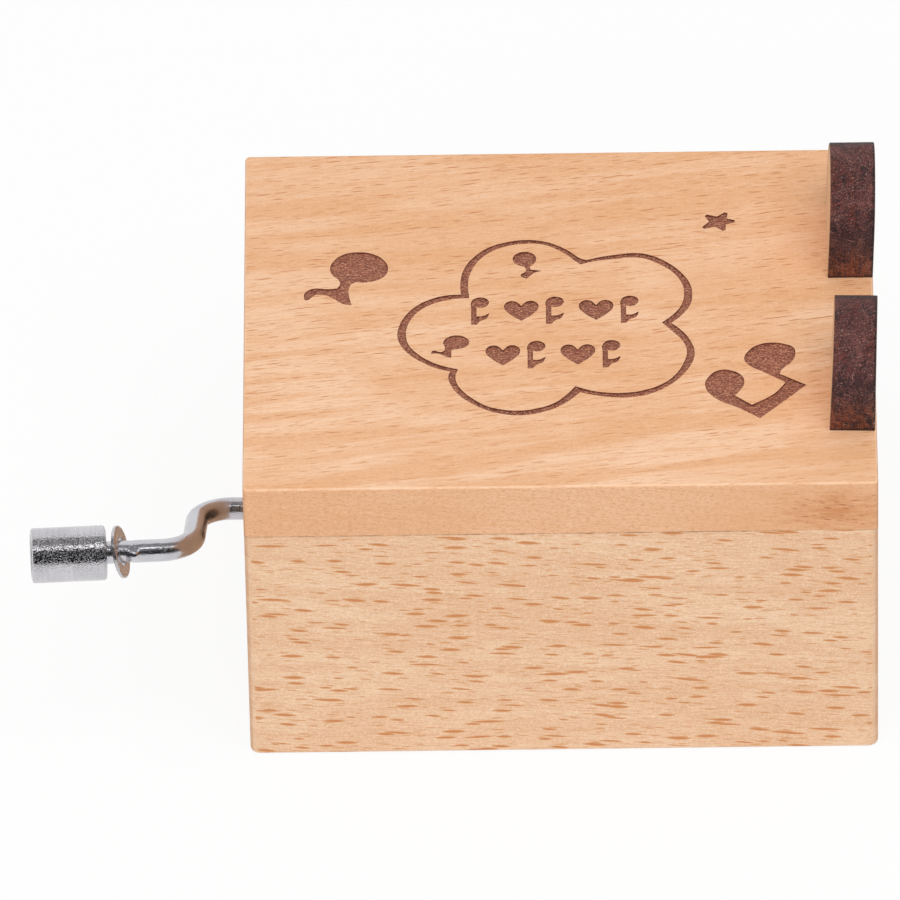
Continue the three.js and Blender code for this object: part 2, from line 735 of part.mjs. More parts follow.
function shaftClip() {
  const inner = innerJournalRadius - clipGrooveDepth + runningFit;
  const ring = sleeve(clipRadius, inner, clipStart, clipStart + clipThickness);
  const mouth = block(0, clipRadius + overrun, -inner, inner,
    clipStart - overrun, clipStart + clipThickness + overrun);
  return cut(ring, mouth);
}

// The wire's centre line, in a plane through the crank axis: x runs along that axis, y along the arm.
// Each stretch of wire has a length and the angle that it turns through.
class CrankLine extends THREE.Curve {
  constructor(start, stretches) {
    super();
    this.start = start;
    this.stretches = stretches;
    this.length = stretches.reduce((sum, stretch) => sum + stretch.length, 0);
  }

  // The place and the heading after a length of wire
  at(length) {
    let left = length;
    let heading = 0;
    let x = this.start;
    let y = 0;
    for (const stretch of this.stretches) {
      const run = THREE.MathUtils.clamp(left, 0, stretch.length);
      const turn = stretch.turn * run / stretch.length;
      const chord = turn === 0 ? run : run * Math.sin(turn / 2) / (turn / 2);
      x += chord * Math.cos(heading + turn / 2);
      y += chord * Math.sin(heading + turn / 2);
      heading += turn;
      left -= run;
    }
    return { x, y, heading };
  }

  getPoint(share, target = new THREE.Vector3()) {
    const { x, y } = this.at(share * this.length);
    return target.set(x, y, 0);
  }
}

const firstBend = Math.PI / 2 - armLean;
const secondBend = firstBend - handleSplay;
const wireStart = bracketHalfLength + sheet + journalOverhang - boreDepth + looseFit;
const crankLine = new CrankLine(wireStart, [
  { length: caseEnd + crankReach - cylinderX - wireStart, turn: 0 },
  { length: bendRadius * firstBend, turn: firstBend },
  { length: armLength, turn: 0 },
  { length: bendRadius * secondBend, turn: -secondBend },
  { length: handleLength, turn: 0 },
]);
const handleStart = crankLine.at(crankLine.length - handleLength);

// Places on the handle are counted from the second bend
const knobEnd = handleLength + knobRecess;
const knobStart = knobEnd - knobLength;
const washerAt = knobStart - washerGap;
const lugEnd = washerAt - lugGap;

// Moves a piece made about +Z, from z = 0, onto the handle's line
function ontoHandle(geometry, along) {
  const { x, y, heading } = handleStart;
  return alongX(geometry)
    .rotateZ(heading)
    .translate(x + along * Math.cos(heading), y + along * Math.sin(heading), 0);
}

function crankWire() {
  const section = new THREE.Shape().absarc(0, 0, wireRadius, 0, 2 * Math.PI);
  const steps = Math.round(crankLine.length / (wireRadius * wireStepShare));
  const wire = new THREE.ExtrudeGeometry(section, {
    steps, extrudePath: crankLine, bevelEnabled: false, curveSegments: wireSides / 2,
  });
  const lugs = ontoHandle(block(-lugWidth / 2, lugWidth / 2, -lugReach, lugReach, 0, lugLength),
    lugEnd - lugLength);
  const rivet = ontoHandle(rod(rivetRadius, 0, rivetLength), handleLength - rivetLength);
  return join(wire, lugs, rivet);
}

function knob() {
  const bore = wireRadius + looseFit;
  const floor = knobLength - counterboreDepth;
  return turned([
    [bore, 0], [knobRadius - knobChamfer, 0], [knobRadius, knobChamfer],
    [knobRadius, knobLength - knobChamfer], [knobRadius - knobChamfer, knobLength],
    [counterboreRadius, knobLength], [counterboreRadius, floor], [bore, floor], [bore, 0],
  ], roundSteps);
}

function knobWasher() {
  return sleeve(washerRadius, washerHoleRadius, -washerThickness / 2, washerThickness / 2, roundSteps)
    .rotateX(washerTurn)
    .rotateY(washerNod);
}

place('worm', alongX(worm()), brass(), crankGroup);
place('shaft_clip', alongX(shaftClip()), springSteel(), crankGroup);
const armGroup = new THREE.Group();
armGroup.rotation.x = crankRise;
crankGroup.add(armGroup);
place('crank_wire', crankWire(), nickelPlate(), armGroup);
place('knob', ontoHandle(knob(), knobStart), nickelPlate(), armGroup);
place('knob_washer', ontoHandle(knobWasher(), washerAt), nickelPlate(), armGroup);

export default musicBox;
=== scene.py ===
"""Looks of the hand crank music box: beech case and lid, laser work, burnt ears, nickel-plated crank."""

from math import copysign, cos, hypot, pi, radians, sin, tan

import bmesh
import bpy
from mathutils import Matrix, Vector, noise


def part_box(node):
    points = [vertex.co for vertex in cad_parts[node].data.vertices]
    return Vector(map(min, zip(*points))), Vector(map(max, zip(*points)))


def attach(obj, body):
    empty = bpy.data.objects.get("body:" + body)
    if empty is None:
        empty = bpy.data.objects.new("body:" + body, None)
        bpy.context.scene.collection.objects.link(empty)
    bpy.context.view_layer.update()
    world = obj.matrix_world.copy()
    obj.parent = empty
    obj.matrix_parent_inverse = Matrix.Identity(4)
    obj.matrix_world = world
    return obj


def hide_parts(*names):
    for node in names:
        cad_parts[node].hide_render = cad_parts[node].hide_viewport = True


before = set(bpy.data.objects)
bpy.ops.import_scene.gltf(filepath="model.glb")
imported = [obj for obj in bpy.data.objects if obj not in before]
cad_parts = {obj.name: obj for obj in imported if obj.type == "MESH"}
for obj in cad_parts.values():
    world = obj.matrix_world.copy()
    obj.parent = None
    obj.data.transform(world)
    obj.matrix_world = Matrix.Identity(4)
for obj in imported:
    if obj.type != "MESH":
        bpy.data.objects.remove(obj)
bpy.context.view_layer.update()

MM = 0.001

# Points closer together than this, in whatever unit the mesh is made in, are one point
SAME = 1e-4

# Sizes that the CAD states, in millimetres

CASE_CORNER = 1.0
LID_CORNER = 0.5
CAVITY_CORNER = 7.0
WALL = 5.0
LEDGE = 3.0
PLATE = 3.0
CRANK_HOLE = 3.5
PILOT = 1.2
PILOT_TOP = 9.55
SCREW_X = 26.2
SCREW_Y = 19.2
EAR_WIDTH = 11.55
EAR_STRAIGHT = 5.6
EAR_THICKNESS = 4.6
# How far an ear's rim is burnt away is the scene's own size
EARS = {
    "ear_front": {"y": -11.225, "lean": radians(1.9), "turn": 0.0, "burnt": 0.05},
    "ear_rear": {"y": 11.525, "lean": radians(2.2), "turn": radians(-1.8), "burnt": 0.28},
}
EAR_X = -29.7
CRANK_AXIS = (14.0, 9.0, 19.4)
CRANK_RISE = radians(19.3)
WIRE = 1.15
BEND = 3.5
WIRE_START = 5.3
FIRST_STRAIGHT = 14.3
ARM_STRAIGHT = 3.5
FIRST_TURN = radians(86.9)
SECOND_TURN = radians(82.4)
HANDLE = 12.95
LUG_MIDDLE = 2.95
LUG_HALF = 0.85
RIVET = 1.75
RIVET_LENGTH = 0.6
KNOB = 2.8
KNOB_FROM = 5.7
KNOB_LENGTH = 7.6
KNOB_BORE = 1.45
COUNTERBORE = 2.15
COUNTERBORE_DEPTH = 1.25
WASHER_AT = 4.2
WASHER = 2.7
WASHER_HOLE = 1.45
WASHER_THICKNESS = 0.45
WASHER_TURN = radians(12.5)
WASHER_NOD = radians(13)

# Sizes that only the scene has, in millimetres

# How far edges are rounded or broken
CASE_FOOT_EDGE = 0.35
LID_RIM_EDGE = 0.3
EAR_RIM_EDGE = 0.12
HOLE_EDGE = 0.3
KNOB_EDGE = 0.28
KNOB_BORE_EDGE = 0.15
COUNTERBORE_EDGE = 0.12
WASHER_EDGE = 0.12
# How far a cutter reaches past what it cuts
CUT_PAST = 1.0
# The stop lugs: how far a wing reaches from the wire's middle, the share of the wire's radius past
# which wings and dents start, and how deep dents and crumples are as shares of it
LUG_REACH = 1.5
LUG_WING = 0.76
LUG_DENT = 0.03
LUG_CRUMPLE = 0.03
LUG_CRUMPLES_PER_MM = 2.2
# The riveted end's outline: shares of its radius, each so far past the one before
RIVET_DOME = ((1.0, 0.001), (1.0, 0.2), (0.88, 0.22), (0.6, 0.13), (0.2, 0.05))


# Mesh helpers

def box_mm(name):
    """Lowest and highest corner of a CAD node, in millimetres."""
    low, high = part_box(name)
    return low / MM, high / MM


def linked_object(bm, name):
    """A bmesh as an object in the scene."""
    mesh = bpy.data.meshes.new(name)
    bm.to_mesh(mesh)
    bm.free()
    made = bpy.data.objects.new(name, mesh)
    bpy.context.scene.collection.objects.link(made)
    return made


def place_mesh(bm, name, materials, body, replaced, smooth=35):
    """A finished piece from a bmesh in millimetres, riding on its body."""
    bmesh.ops.scale(bm, vec=(MM, MM, MM), verts=bm.verts)
    piece = linked_object(bm, name)
    piece.data.shade_smooth()
    piece.data.set_sharp_from_angle(angle=radians(smooth))
    for material in materials:
        piece.data.materials.append(material)
    steady = piece.modifiers.new("even_shading", "WEIGHTED_NORMAL")
    steady.keep_sharp = True
    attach(piece, body)
    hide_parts(*replaced)
    return piece


def bevel(bm, edges, width, segments):
    bmesh.ops.bevel(
        bm, geom=list(edges), offset=width, offset_type="OFFSET", affect="EDGES",
        segments=segments, profile=0.5, material=-1, clamp_overlap=True)


def board(low, high, corner, corner_steps=6):
    """A block with rounded upright edges."""
    bm = bmesh.new()
    bmesh.ops.create_cube(bm, size=1)
    size = [b - a for a, b in zip(low, high)]
    middle = [(a + b) / 2 for a, b in zip(low, high)]
    bmesh.ops.scale(bm, vec=size, verts=bm.verts)
    bmesh.ops.translate(bm, vec=middle, verts=bm.verts)
    upright = [e for e in bm.edges if abs(e.verts[0].co.z - e.verts[1].co.z) > corner / 2]
    bevel(bm, upright, corner, corner_steps)
    return bm


def rim_edges(bm, z):
    """The edges of a board's outline at one height."""
    return [e for e in bm.edges if all(abs(v.co.z - z) < SAME for v in e.verts)]


def carve(bm, cutters):
    """Cuts each cutter out of bm, and gives the cut faces the cutter's material."""
    block = linked_object(bm, "block")
    for cutter in cutters:
        cut = block.modifiers.new("cut", "BOOLEAN")
        cut.operation = "DIFFERENCE"
        cut.solver = "EXACT"
        cut.material_mode = "INDEX"
        cut.object = cutter
    bpy.context.view_layer.update()
    carved = bmesh.new()
    carved.from_mesh(block.evaluated_get(bpy.context.evaluated_depsgraph_get()).to_mesh())
    for used in [block, *cutters]:
        bpy.data.objects.remove(used)
    bmesh.ops.remove_doubles(carved, verts=carved.verts, dist=SAME)
    bmesh.ops.dissolve_degenerate(carved, edges=carved.edges, dist=SAME)
    return carved


def turned(profile, steps):
    """A closed turned solid about z, from pairs of radius and height."""
    bm = bmesh.new()
    ring = [bm.verts.new((radius, 0, height)) for radius, height in profile]
    edges = [bm.edges.new(pair) for pair in zip(ring, ring[1:])]
    if profile[0][0] > 0:
        edges.append(bm.edges.new((ring[-1], ring[0])))
    bmesh.ops.spin(
        bm, geom=ring + edges, cent=(0, 0, 0), axis=(0, 0, 1), dvec=(0, 0, 0),
        angle=2 * pi, steps=steps, use_merge=True, use_duplicate=False)
    bmesh.ops.remove_doubles(bm, verts=bm.verts, dist=SAME)
    bmesh.ops.recalc_face_normals(bm, faces=bm.faces)
    return bm


# Material helpers

def colour(code):
    """Linear colour from an sRGB hex value."""
    def linear(value):
        return value / 12.92 if value <= 0.04045 else ((value + 0.055) / 1.055) ** 2.4
    return (*(linear(int(code[i:i + 2], 16) / 255) for i in (0, 2, 4)), 1.0)


def add(tree, kind, inputs=(), out=0, **settings):
    """Adds a node with its settings and its inputs, by place or by name, and gives one output."""
    node = tree.nodes.new("ShaderNode" + kind)
    for key, value in settings.items():
        setattr(node, key, value)
    for key, value in inputs.items() if isinstance(inputs, dict) else enumerate(inputs):
        if isinstance(value, bpy.types.NodeSocket):
            tree.links.new(value, node.inputs[key])
        else:
            node.inputs[key].default_value = value
    return node.outputs[out]


def started(name):
    """A new material, its nodes, its shader and the object's own coordinates in millimetres."""
    material = bpy.data.materials.new(name)
    material.use_nodes = True
    tree = material.node_tree
    shader = next(n for n in tree.nodes if n.type == "BSDF_PRINCIPLED")
    metres = add(tree, "TexCoord", out="Object")
    return material, tree, shader, add(tree, "VectorMath", {0: metres, 3: 1 / MM}, operation="SCALE")


def patches(tree, place, size, detail=2.0, roughness=0.5, distortion=0.0):
    """Irregular patches, about size millimetres long along each axis."""
    spread = add(tree, "Mapping", {"Vector": place, "Scale": [1 / s for s in size]})
    return add(tree, "TexNoise", {"Vector": spread, "Scale": 1.0, "Detail": detail,
                                  "Roughness": roughness, "Distortion": distortion})


def spindles(tree, flat, cell, size, share, tilt, shift=0.0):
    """Spindle-shaped marks along x, of a length and width, in a share of cells of a length and width.

    All in millimetres. The value is 1 in the middle of a mark and 0 at its outline.
    """
    spread = add(tree, "Mapping", {"Vector": flat, "Scale": (1 / cell[0], 1 / cell[1], 0),
                                   "Location": (shift, shift, 0)})
    spots = add(tree, "TexVoronoi", {"Vector": spread, "Scale": 1.0, "Randomness": 0.85},
                voronoi_dimensions="2D").node.outputs
    # The blue draw is the one that the spot's own place doesn't depend on
    draw = add(tree, "SeparateColor", [spots["Color"]]).node.outputs
    away = add(tree, "VectorMath", (spread, spots["Position"]), operation="SUBTRACT")
    away = add(tree, "VectorMath", (away, (*cell, 0)), operation="MULTIPLY")
    away = add(tree, "SeparateXYZ", [away]).node.outputs
    grown = add(tree, "MapRange", (draw[2], 1 - share, 1, 0.4, 1))
    lean = add(tree, "MapRange", (draw[0], 0, 1, -tilt, tilt))
    across = add(tree, "Math", (away[0], lean, away[1]), operation="MULTIPLY_ADD")
    across = add(tree, "Math", [across], operation="ABSOLUTE")
    across = add(tree, "Math", (across, add(tree, "Math", (grown, size[1] / 2), operation="MULTIPLY")),
                 operation="DIVIDE")
    along = add(tree, "Math", (away[0], add(tree, "Math", (grown, size[0] / 2), operation="MULTIPLY")),
                operation="DIVIDE")
    along = add(tree, "Math", (along, along), operation="MULTIPLY")
    inside = add(tree, "Math", (1.0, add(tree, "Math", (along, across), operation="ADD")),
                 operation="SUBTRACT", use_clamp=True)
    present = add(tree, "Math", (draw[2], 1 - share), operation="GREATER_THAN")
    return add(tree, "Math", (inside, present), operation="MULTIPLY")


def layered(tree, base, *coats):
    """Colours laid over each other.

    A coat is a pattern, the values at which it starts and is full, its strength and its colour.
    """
    tone = colour(base)
    for pattern, start, full, strength, coat in coats:
        share = add(tree, "MapRange", (pattern, start, full, 0, strength),
                    interpolation_type="SMOOTHSTEP")
        tone = add(tree, "Mix", {0: share, 6: tone, 7: colour(coat)}, out=2, data_type="RGBA")
    return tone


def weighed(tree, *parts):
    """Patterns added up, each with its weight."""
    total = 0.0
    for pattern, weight in parts:
        total = add(tree, "Math", (pattern, weight, total), operation="MULTIPLY_ADD")
    return total


def product(tree, first, *others):
    """Patterns where all of them are."""
    for other in others:
        first = add(tree, "Math", (first, other), operation="MULTIPLY")
    return first


def surface(tree, shader, tone, gloss, relief, depth, **values):
    """Colour, roughness between two values over the relief, and relief of a depth in millimetres."""
    tree.links.new(tone, shader.inputs["Base Color"])
    rough = add(tree, "MapRange", (relief, 0.3, 0.7, *gloss))
    tree.links.new(rough, shader.inputs["Roughness"])
    bump = add(tree, "Bump", {"Height": relief, "Strength": 1.0, "Distance": depth * MM})
    tree.links.new(bump, shader.inputs["Normal"])
    for socket, value in values.items():
        shader.inputs[socket.replace("_", " ")].default_value = value


def board_face(tree, place, slope, wander):
    """The plane of whichever side of a board is seen, x along the grain and y across it, in millimetres.

    Also how far that side is an end, and how far it is an upright side.
    """
    facing = add(tree, "SeparateXYZ", [add(tree, "TexCoord", out="Normal")]).node.outputs
    parts = add(tree, "SeparateXYZ", [place]).node.outputs
    side = add(tree, "Math", (add(tree, "Math", [facing[2]], operation="ABSOLUTE"), 0.7),
               operation="LESS_THAN")
    end = add(tree, "MapRange", (add(tree, "Math", [facing[0]], operation="ABSOLUTE"), 0.6, 0.8, 0, 1))
    across = add(tree, "Mix", {0: side, 2: parts[1], 3: parts[2]}, data_type="FLOAT")
    waves = patches(tree, place, (16, 6, 6), 1.0)
    across = weighed(tree, (across, 1.0), (waves, wander), (parts[0], slope))
    return add(tree, "CombineXYZ", (parts[0], across, 0.0)), end, side


# Beech: planed and sanded board, unvarnished. Pale pinkish tan, with the brown ends of its rays
# as short spindles along the grain, hair-thin darker vessels between them, and soft wide bands
# where the growth is denser. On the ends the same vessels are pits between fine upright rays.
# A brown stain with marks of its own lies at one place of each board, and fades out over about
# these millimetres along x, y and z.

STAIN_SIZE = (5.6, 3, 2.6)


def beech(name, tones, slope, wander, rays, long_rays, dashes, hair, seam, side_marks, near_marks,
          contrast, stain):
    material, tree, shader, place = started(name)
    pale, dense, dark, mark, core = tones
    flat, end, side = board_face(tree, place, slope, wander)
    parts = add(tree, "SeparateXYZ", [place]).node.outputs
    facing = add(tree, "SeparateXYZ", [add(tree, "TexCoord", out="Normal")]).node.outputs
    calm = add(tree, "MapRange", (side, 0, 1, 0, 1 - side_marks))
    bands = add(tree, "Mix", {0: calm, 2: patches(tree, flat, (30, 2.6, 1), 3.0, 0.55, 0.3), 3: 0.54})
    broad = patches(tree, place, (18, 11, 11), 2.0)
    fibre = patches(tree, flat, (2.6, 0.17, 1), 3.0, 0.6)
    grit = patches(tree, place, (0.22, 0.15, 0.15), 2.0, 0.7)
    mottle = product(tree, patches(tree, place, (0.5, 0.2, 0.2), 2.0, 0.7), calm)
    fewer = product(tree, add(tree, "MapRange", (side, 0, 1, 1, side_marks)),
                    add(tree, "MapRange", (add(tree, "Math", [facing[0]], operation="ABSOLUTE"),
                                           0.15, 0.45, 1, 0)),
                    add(tree, "MapRange", (parts[1], 4, 20, 1, near_marks)))
    spot = add(tree, "Mapping", {"Vector": place, "Location": [-s for s in stain]})
    spot = add(tree, "VectorMath", (spot, [1 / s for s in STAIN_SIZE]), operation="MULTIPLY")
    spot = add(tree, "VectorMath", [spot], "Value", operation="LENGTH")
    spot = weighed(tree, (spot, 1.0), (patches(tree, place, (2.2, 1.2, 0.4), 3.0, 0.65), 2.8))
    spot_marks = product(tree, add(tree, "MapRange", (spot, 2.4, 1.8, 0, 1)),
                         spindles(tree, flat, (1.6, 0.42), (1.2, 0.2), 0.6, 0.1, 9.1))
    open_rays = add(tree, "Math", (spindles(tree, flat, *rays), spindles(tree, flat, *long_rays)),
                    operation="MAXIMUM")
    open_rays = product(tree, open_rays, fewer)
    short = product(tree, spindles(tree, flat, *dashes), fewer)
    hairs = product(tree, spindles(tree, flat, *hair), fewer)
    # Darker towards the board's front, at -y, evenly over every face
    far = add(tree, "MapRange", (parts[1], 20, -26, 0, 1))
    long_fibre = patches(tree, flat, (9, 0.3, 1), 3.0, 0.6)
    tone = layered(
        tree, pale, (bands, 0.42, 0.6, 0.7, dense), (broad, 0.45, 0.62, 0.5, dense),
        (far, 0.0, 1.0, 0.32, dense), (long_fibre, 0.5, 0.62, 0.45, dense),
        (fibre, 0.5, 0.64, 0.42 * contrast, dark), (fibre, 0.47, 0.34, 0.4 * contrast, "fbdfc2"),
        (grit, 0.52, 0.64, 0.34 * contrast, dark), (grit, 0.47, 0.36, 0.45 * contrast, "fde6cd"),
        (mottle, 0.44, 0.56, 0.55, dark),
        (spot, 5.5, 2.2, 0.4, dense), (spot, 3.0, 1.0, 0.7, "c87c42"),
        (spot_marks, 0.0, 0.4, 0.65, "a8552a"),
        (hairs, 0.0, 0.5, 0.55, mark), (short, 0.0, 0.35, 0.7, mark), (open_rays, 0.0, 0.25, 0.8, mark),
        (open_rays, 0.25, 0.7, 0.7, core))
    # End grain: browner, pitted, with fine rays running up through it
    upright = patches(tree, place, (1, 0.14, 3.0), 3.0, 0.6)
    pits = add(tree, "TexVoronoi", {"Vector": place, "Scale": 4.5}, voronoi_dimensions="3D")
    rings = patches(tree, place, (1, 9, 1.6), 2.0, 0.5, 0.6)
    brown = product(tree, end, add(tree, "MapRange", (rings, 0.3, 0.7, 0.35, 0.9)))
    tone = add(tree, "Mix", {0: brown, 6: tone, 7: colour(dark)}, out=2, data_type="RGBA")
    for pattern, start, full, strength in ((upright, 0.5, 0.75, 0.4), (pits, 0.22, 0.08, 0.4)):
        share = add(tree, "MapRange", (pattern, start, full, 0, strength),
                    interpolation_type="SMOOTHSTEP")
        share = product(tree, share, end)
        tone = add(tree, "Mix", {0: share, 6: tone, 7: colour(core)}, out=2, data_type="RGBA")
    # The glue line between case and lid: a thin broken shadow with a little glue and dust in it
    off = add(tree, "Math", [weighed(tree, (parts[2], 1.0), (1.0, -seam))], operation="ABSOLUTE")
    line = add(tree, "MapRange", (off, 0.11, 0.04, 0, 1))
    broken = add(tree, "MapRange", (patches(tree, place, (2.2, 2.2, 9), 3.0, 0.7), 0.4, 0.6, 0.12, 0.65))
    # Sloped edges round the top: rubbed paler, unevenly, and painted with the highlight that a rounded
    # edge catches
    rubbed_and_highlit = patches(tree, place, (2.5, 2.5, 2.5), 3.0, 0.7)
    edge = product(tree, add(tree, "MapRange", (facing[2], 0.3, 0.6, 0, 1)),
                   add(tree, "MapRange", (facing[2], 0.985, 0.9, 0, 1)),
                   add(tree, "MapRange", (rubbed_and_highlit, 0.35, 0.6, 0.2, 1)))
    # The pale coat on the sloped edges is wear and also a painted highlight
    for share, coat in ((product(tree, line, broken), "7d4722"), (product(tree, edge, 0.6), "fbd6b4")):
        tone = add(tree, "Mix", {0: share, 6: tone, 7: colour(coat)}, out=2, data_type="RGBA")
    relief = weighed(tree, (fibre, 0.55), (grit, 0.45), (open_rays, -0.25), (hairs, -0.2))
    surface(tree, shader, tone, (0.5, 0.62), relief, 0.03, Specular_IOR_Level=0.35)
    return material


SEAM = box_mm("lid")[0].z
beech_case = beech(
    "beech_case", ("f0cba8", "e6b78f", "d2a07a", "d7955c", "c97c42"), -0.06, 1.5,
    rays=((4.2, 0.95), (3.0, 0.56), 0.48, 0.05), long_rays=((5.6, 2.3), (4.3, 0.46), 0.5, 0.07, 1.3),
    dashes=((2.4, 0.5), (1.7, 0.26), 0.42, 0.08, 3.7), hair=((1.6, 0.28), (1.2, 0.12), 0.62, 0.1, 7.3),
    seam=SEAM, side_marks=1.0, near_marks=1.0, contrast=0.8, stain=(18, -26, 12))
beech_lid = beech(
    "beech_lid", ("f4c9a5", "e4a979", "d29467", "cf8c5a", "bf7843"), -0.13, 1.3,
    rays=((2.7, 0.7), (2.1, 0.18), 0.42, 0.04), long_rays=((5.5, 2.2), (4.4, 0.14), 0.4, 0.02, 1.3),
    dashes=((2.0, 0.46), (1.5, 0.14), 0.5, 0.04, 2.9), hair=((2.2, 0.25), (2.0, 0.09), 0.6, 0.03, 5.1),
    seam=SEAM, side_marks=0.12, near_marks=0.45, contrast=0.35, stain=(-27.9, 25, 33.1))


# Laser engraving in beech: a shallow floor of scorched fibres, warm brown, rough along the grain,
# with paler torn fibres standing up in it, their pale tips also painted highlights on the relief's
# peaks, and darker walls, painted shade along the groove's edges

def engraved_beech():
    material, tree, shader, place = started("engraved_beech")
    facing = add(tree, "SeparateXYZ", [add(tree, "TexCoord", out="Normal")]).node.outputs
    streaks = patches(tree, place, (0.7, 0.22, 0.4), 2.0, 0.6, 0.8)
    specks = patches(tree, place, (0.26, 0.13, 0.2), 2.0, 0.7)
    passes = patches(tree, place, (3.0, 1.2, 1.0), 2.0)
    # The pale streaks and specks lie on the relief's peaks, painted highlights as well as paler fibres;
    # the dark coat on the steep walls is painted shade
    tone = layered(
        tree, "a15b43", (passes, 0.44, 0.6, 0.5, "914e38"), (streaks, 0.48, 0.38, 0.6, "7a3c29"),
        (specks, 0.48, 0.38, 0.6, "6d3523"), (streaks, 0.54, 0.62, 0.55, "d5906e"),
        (specks, 0.55, 0.62, 0.75, "eab28f"), (facing[2], 0.9, 0.5, 0.6, "743d28"))
    relief = weighed(tree, (streaks, 0.7), (specks, 0.35))
    surface(tree, shader, tone, (0.45, 0.75), relief, 0.4, Specular_IOR_Level=0.45)
    return material


engraved = engraved_beech()


# Laser-cut edge of a wooden tab: charred to a thin dark crust with fine grains and wrinkles, nearly
# black at the top and along the rims, with red-brown wood showing through in patches and near the
# foot, painted shade over the lower part of the outline, a few pale scratches, and painted glints

def charred_edge():
    material, tree, shader, place = started("charred_edge")
    outline = add(tree, "SeparateXYZ", [add(tree, "UVMap", uv_map="outline")]).node.outputs
    through = add(tree, "SeparateXYZ", [add(tree, "UVMap", uv_map="through")]).node.outputs
    side = add(tree, "SeparateXYZ", [place], "Y")
    broad = patches(tree, place, (2.6, 3.4, 3.4), 3.0, 0.6, 0.4)
    blots = patches(tree, place, (1.5, 2.2, 2.2), 4.0, 0.65, 0.8)
    burnt = patches(tree, place, (0.3, 1.5, 1.5), 4.0, 0.7, 0.6)
    crust = patches(tree, place, (0.17, 0.17, 0.17), 4.0, 0.75)
    grain = weighed(tree, (crust, 1.0), (broad, 0.6))
    # Rare pale dots: painted glints on the crust
    painted_glints = patches(tree, place, (0.16, 0.16, 0.16), 1.0, 0.5)
    skin = patches(tree, place, (0.7, 0.45, 0.45), 3.0, 0.7)
    foot = add(tree, "MapRange", (outline[1], 6.0, 0.8, 0.0, 1.0), interpolation_type="SMOOTHSTEP")
    bare = product(tree, foot, add(tree, "MapRange", (burnt, 0.42, 0.56, 0, 1)))
    along = add(tree, "CombineXYZ", (
        through[0], weighed(tree, (outline[1], 1.0), (side, 3.3), (through[0], -0.35)), 0.0))
    scratches = spindles(tree, along, (2.1, 1.1), (1.4, 0.1), 0.35, 0.02)
    wrinkles = patches(tree, along, (1.3, 0.26, 1), 3.0, 0.65)
    rim = weighed(tree, (through[0], -1.0), (skin, 0.9))
    beyond = weighed(tree, (outline[0], -1.0), (skin, 0.6))
    beyond = product(tree, add(tree, "MapRange", (beyond, 2.6, 3.1, 0, 1)),
                     add(tree, "MapRange", (outline[1], 7.5, 9.0, 0, 1)))
    # How far up the rounded outline a place is, from the foot on the one side over the top
    climb = weighed(tree, (outline[1], 0.73), (outline[0], -0.68), (broad, 6.0), (blots, 4.0))
    inner_rim = weighed(tree, (through[0], 1.0), (broad, 2.2))
    tone = layered(
        tree, "5e3331", (broad, 0.44, 0.58, 0.8, "8a3b2d"), (inner_rim, 2.6, 3.4, 0.5, "904529"),
        # The purple-black coat where the outline climbs least is painted shade over the tab's lower part
        (climb, 8.4, 5.6, 0.75, "35222a"), (blots, 0.45, 0.36, 0.4, "74433a"),
        (climb, 3.6, 2.0, 0.7, "55291d"), (bare, 0.0, 1.0, 0.75, "a0522a"),
        (outline[1], 7.5, 11.3, 0.3, "2a1a1e"),
        (blots, 0.53, 0.62, 0.7, "2a1a1e"), (burnt, 0.55, 0.64, 0.6, "241517"),
        (beyond, 0.0, 1.0, 0.85, "1b1315"), (wrinkles, 0.52, 0.62, 0.5, "24171b"),
        (wrinkles, 0.46, 0.36, 0.35, "8a5549"), (grain, 0.8, 0.88, 0.65, "1f1318"),
        (grain, 0.75, 0.67, 0.6, "955a50"), (rim, 2.42, 2.62, 0.85, "181013"),
        (outline[1], 0.4, 0.1, 0.7, "1b1113"), (scratches, 0.0, 0.5, 0.5, "bd948a"),
        (painted_glints, 0.67, 0.71, 0.5, "d0a898"))
    relief = weighed(tree, (crust, 0.5), (skin, 0.35), (burnt, 0.3))
    surface(tree, shader, tone, (0.4, 0.7), relief, 0.25, Specular_IOR_Level=0.35)
    return material


# The flat sides of a tab: the same beech board, browned by smoke beside the burnt outline
def smoked_beech():
    material, tree, shader, place = started("smoked_beech")
    outline = add(tree, "UVMap", uv_map="outline")
    parts = add(tree, "SeparateXYZ", [outline]).node.outputs
    above = add(tree, "Math", (weighed(tree, (parts[1], 1.0), (1.0, -EAR_STRAIGHT)), 0.0),
                operation="MAXIMUM")
    reach = add(tree, "VectorMath", [add(tree, "CombineXYZ", (parts[0], above, 0.0))], "Value",
                operation="LENGTH")
    bands = patches(tree, outline, (28, 3, 1), 3.0)
    fibre = patches(tree, outline, (2.4, 0.16, 1), 2.0)
    flecks = spindles(tree, outline, (2.2, 0.5), (1.3, 0.14), 0.5, 0.08)
    smoke = weighed(tree, (reach, 1.0), (patches(tree, place, (0.8, 0.8, 0.8), 3.0), 0.8))
    tone = layered(
        tree, "edc6a0", (bands, 0.4, 0.7, 0.6, "dcab80"), (fibre, 0.5, 0.75, 0.4, "c8946a"),
        (flecks, 0.0, 0.4, 0.6, "b97f56"),
        (smoke, EAR_WIDTH / 2 - 0.7, EAR_WIDTH / 2 + 0.5, 0.85, "6a4030"))
    surface(tree, shader, tone, (0.5, 0.65), fibre, 0.02, Specular_IOR_Level=0.35)
    return material


charred = charred_edge()
smoked = smoked_beech()


# Nickel plate over cut or drawn steel: neutral grey mirror, broken up by the fine grain of the
# metal under the plate, so that its reflections sparkle where light meets dark

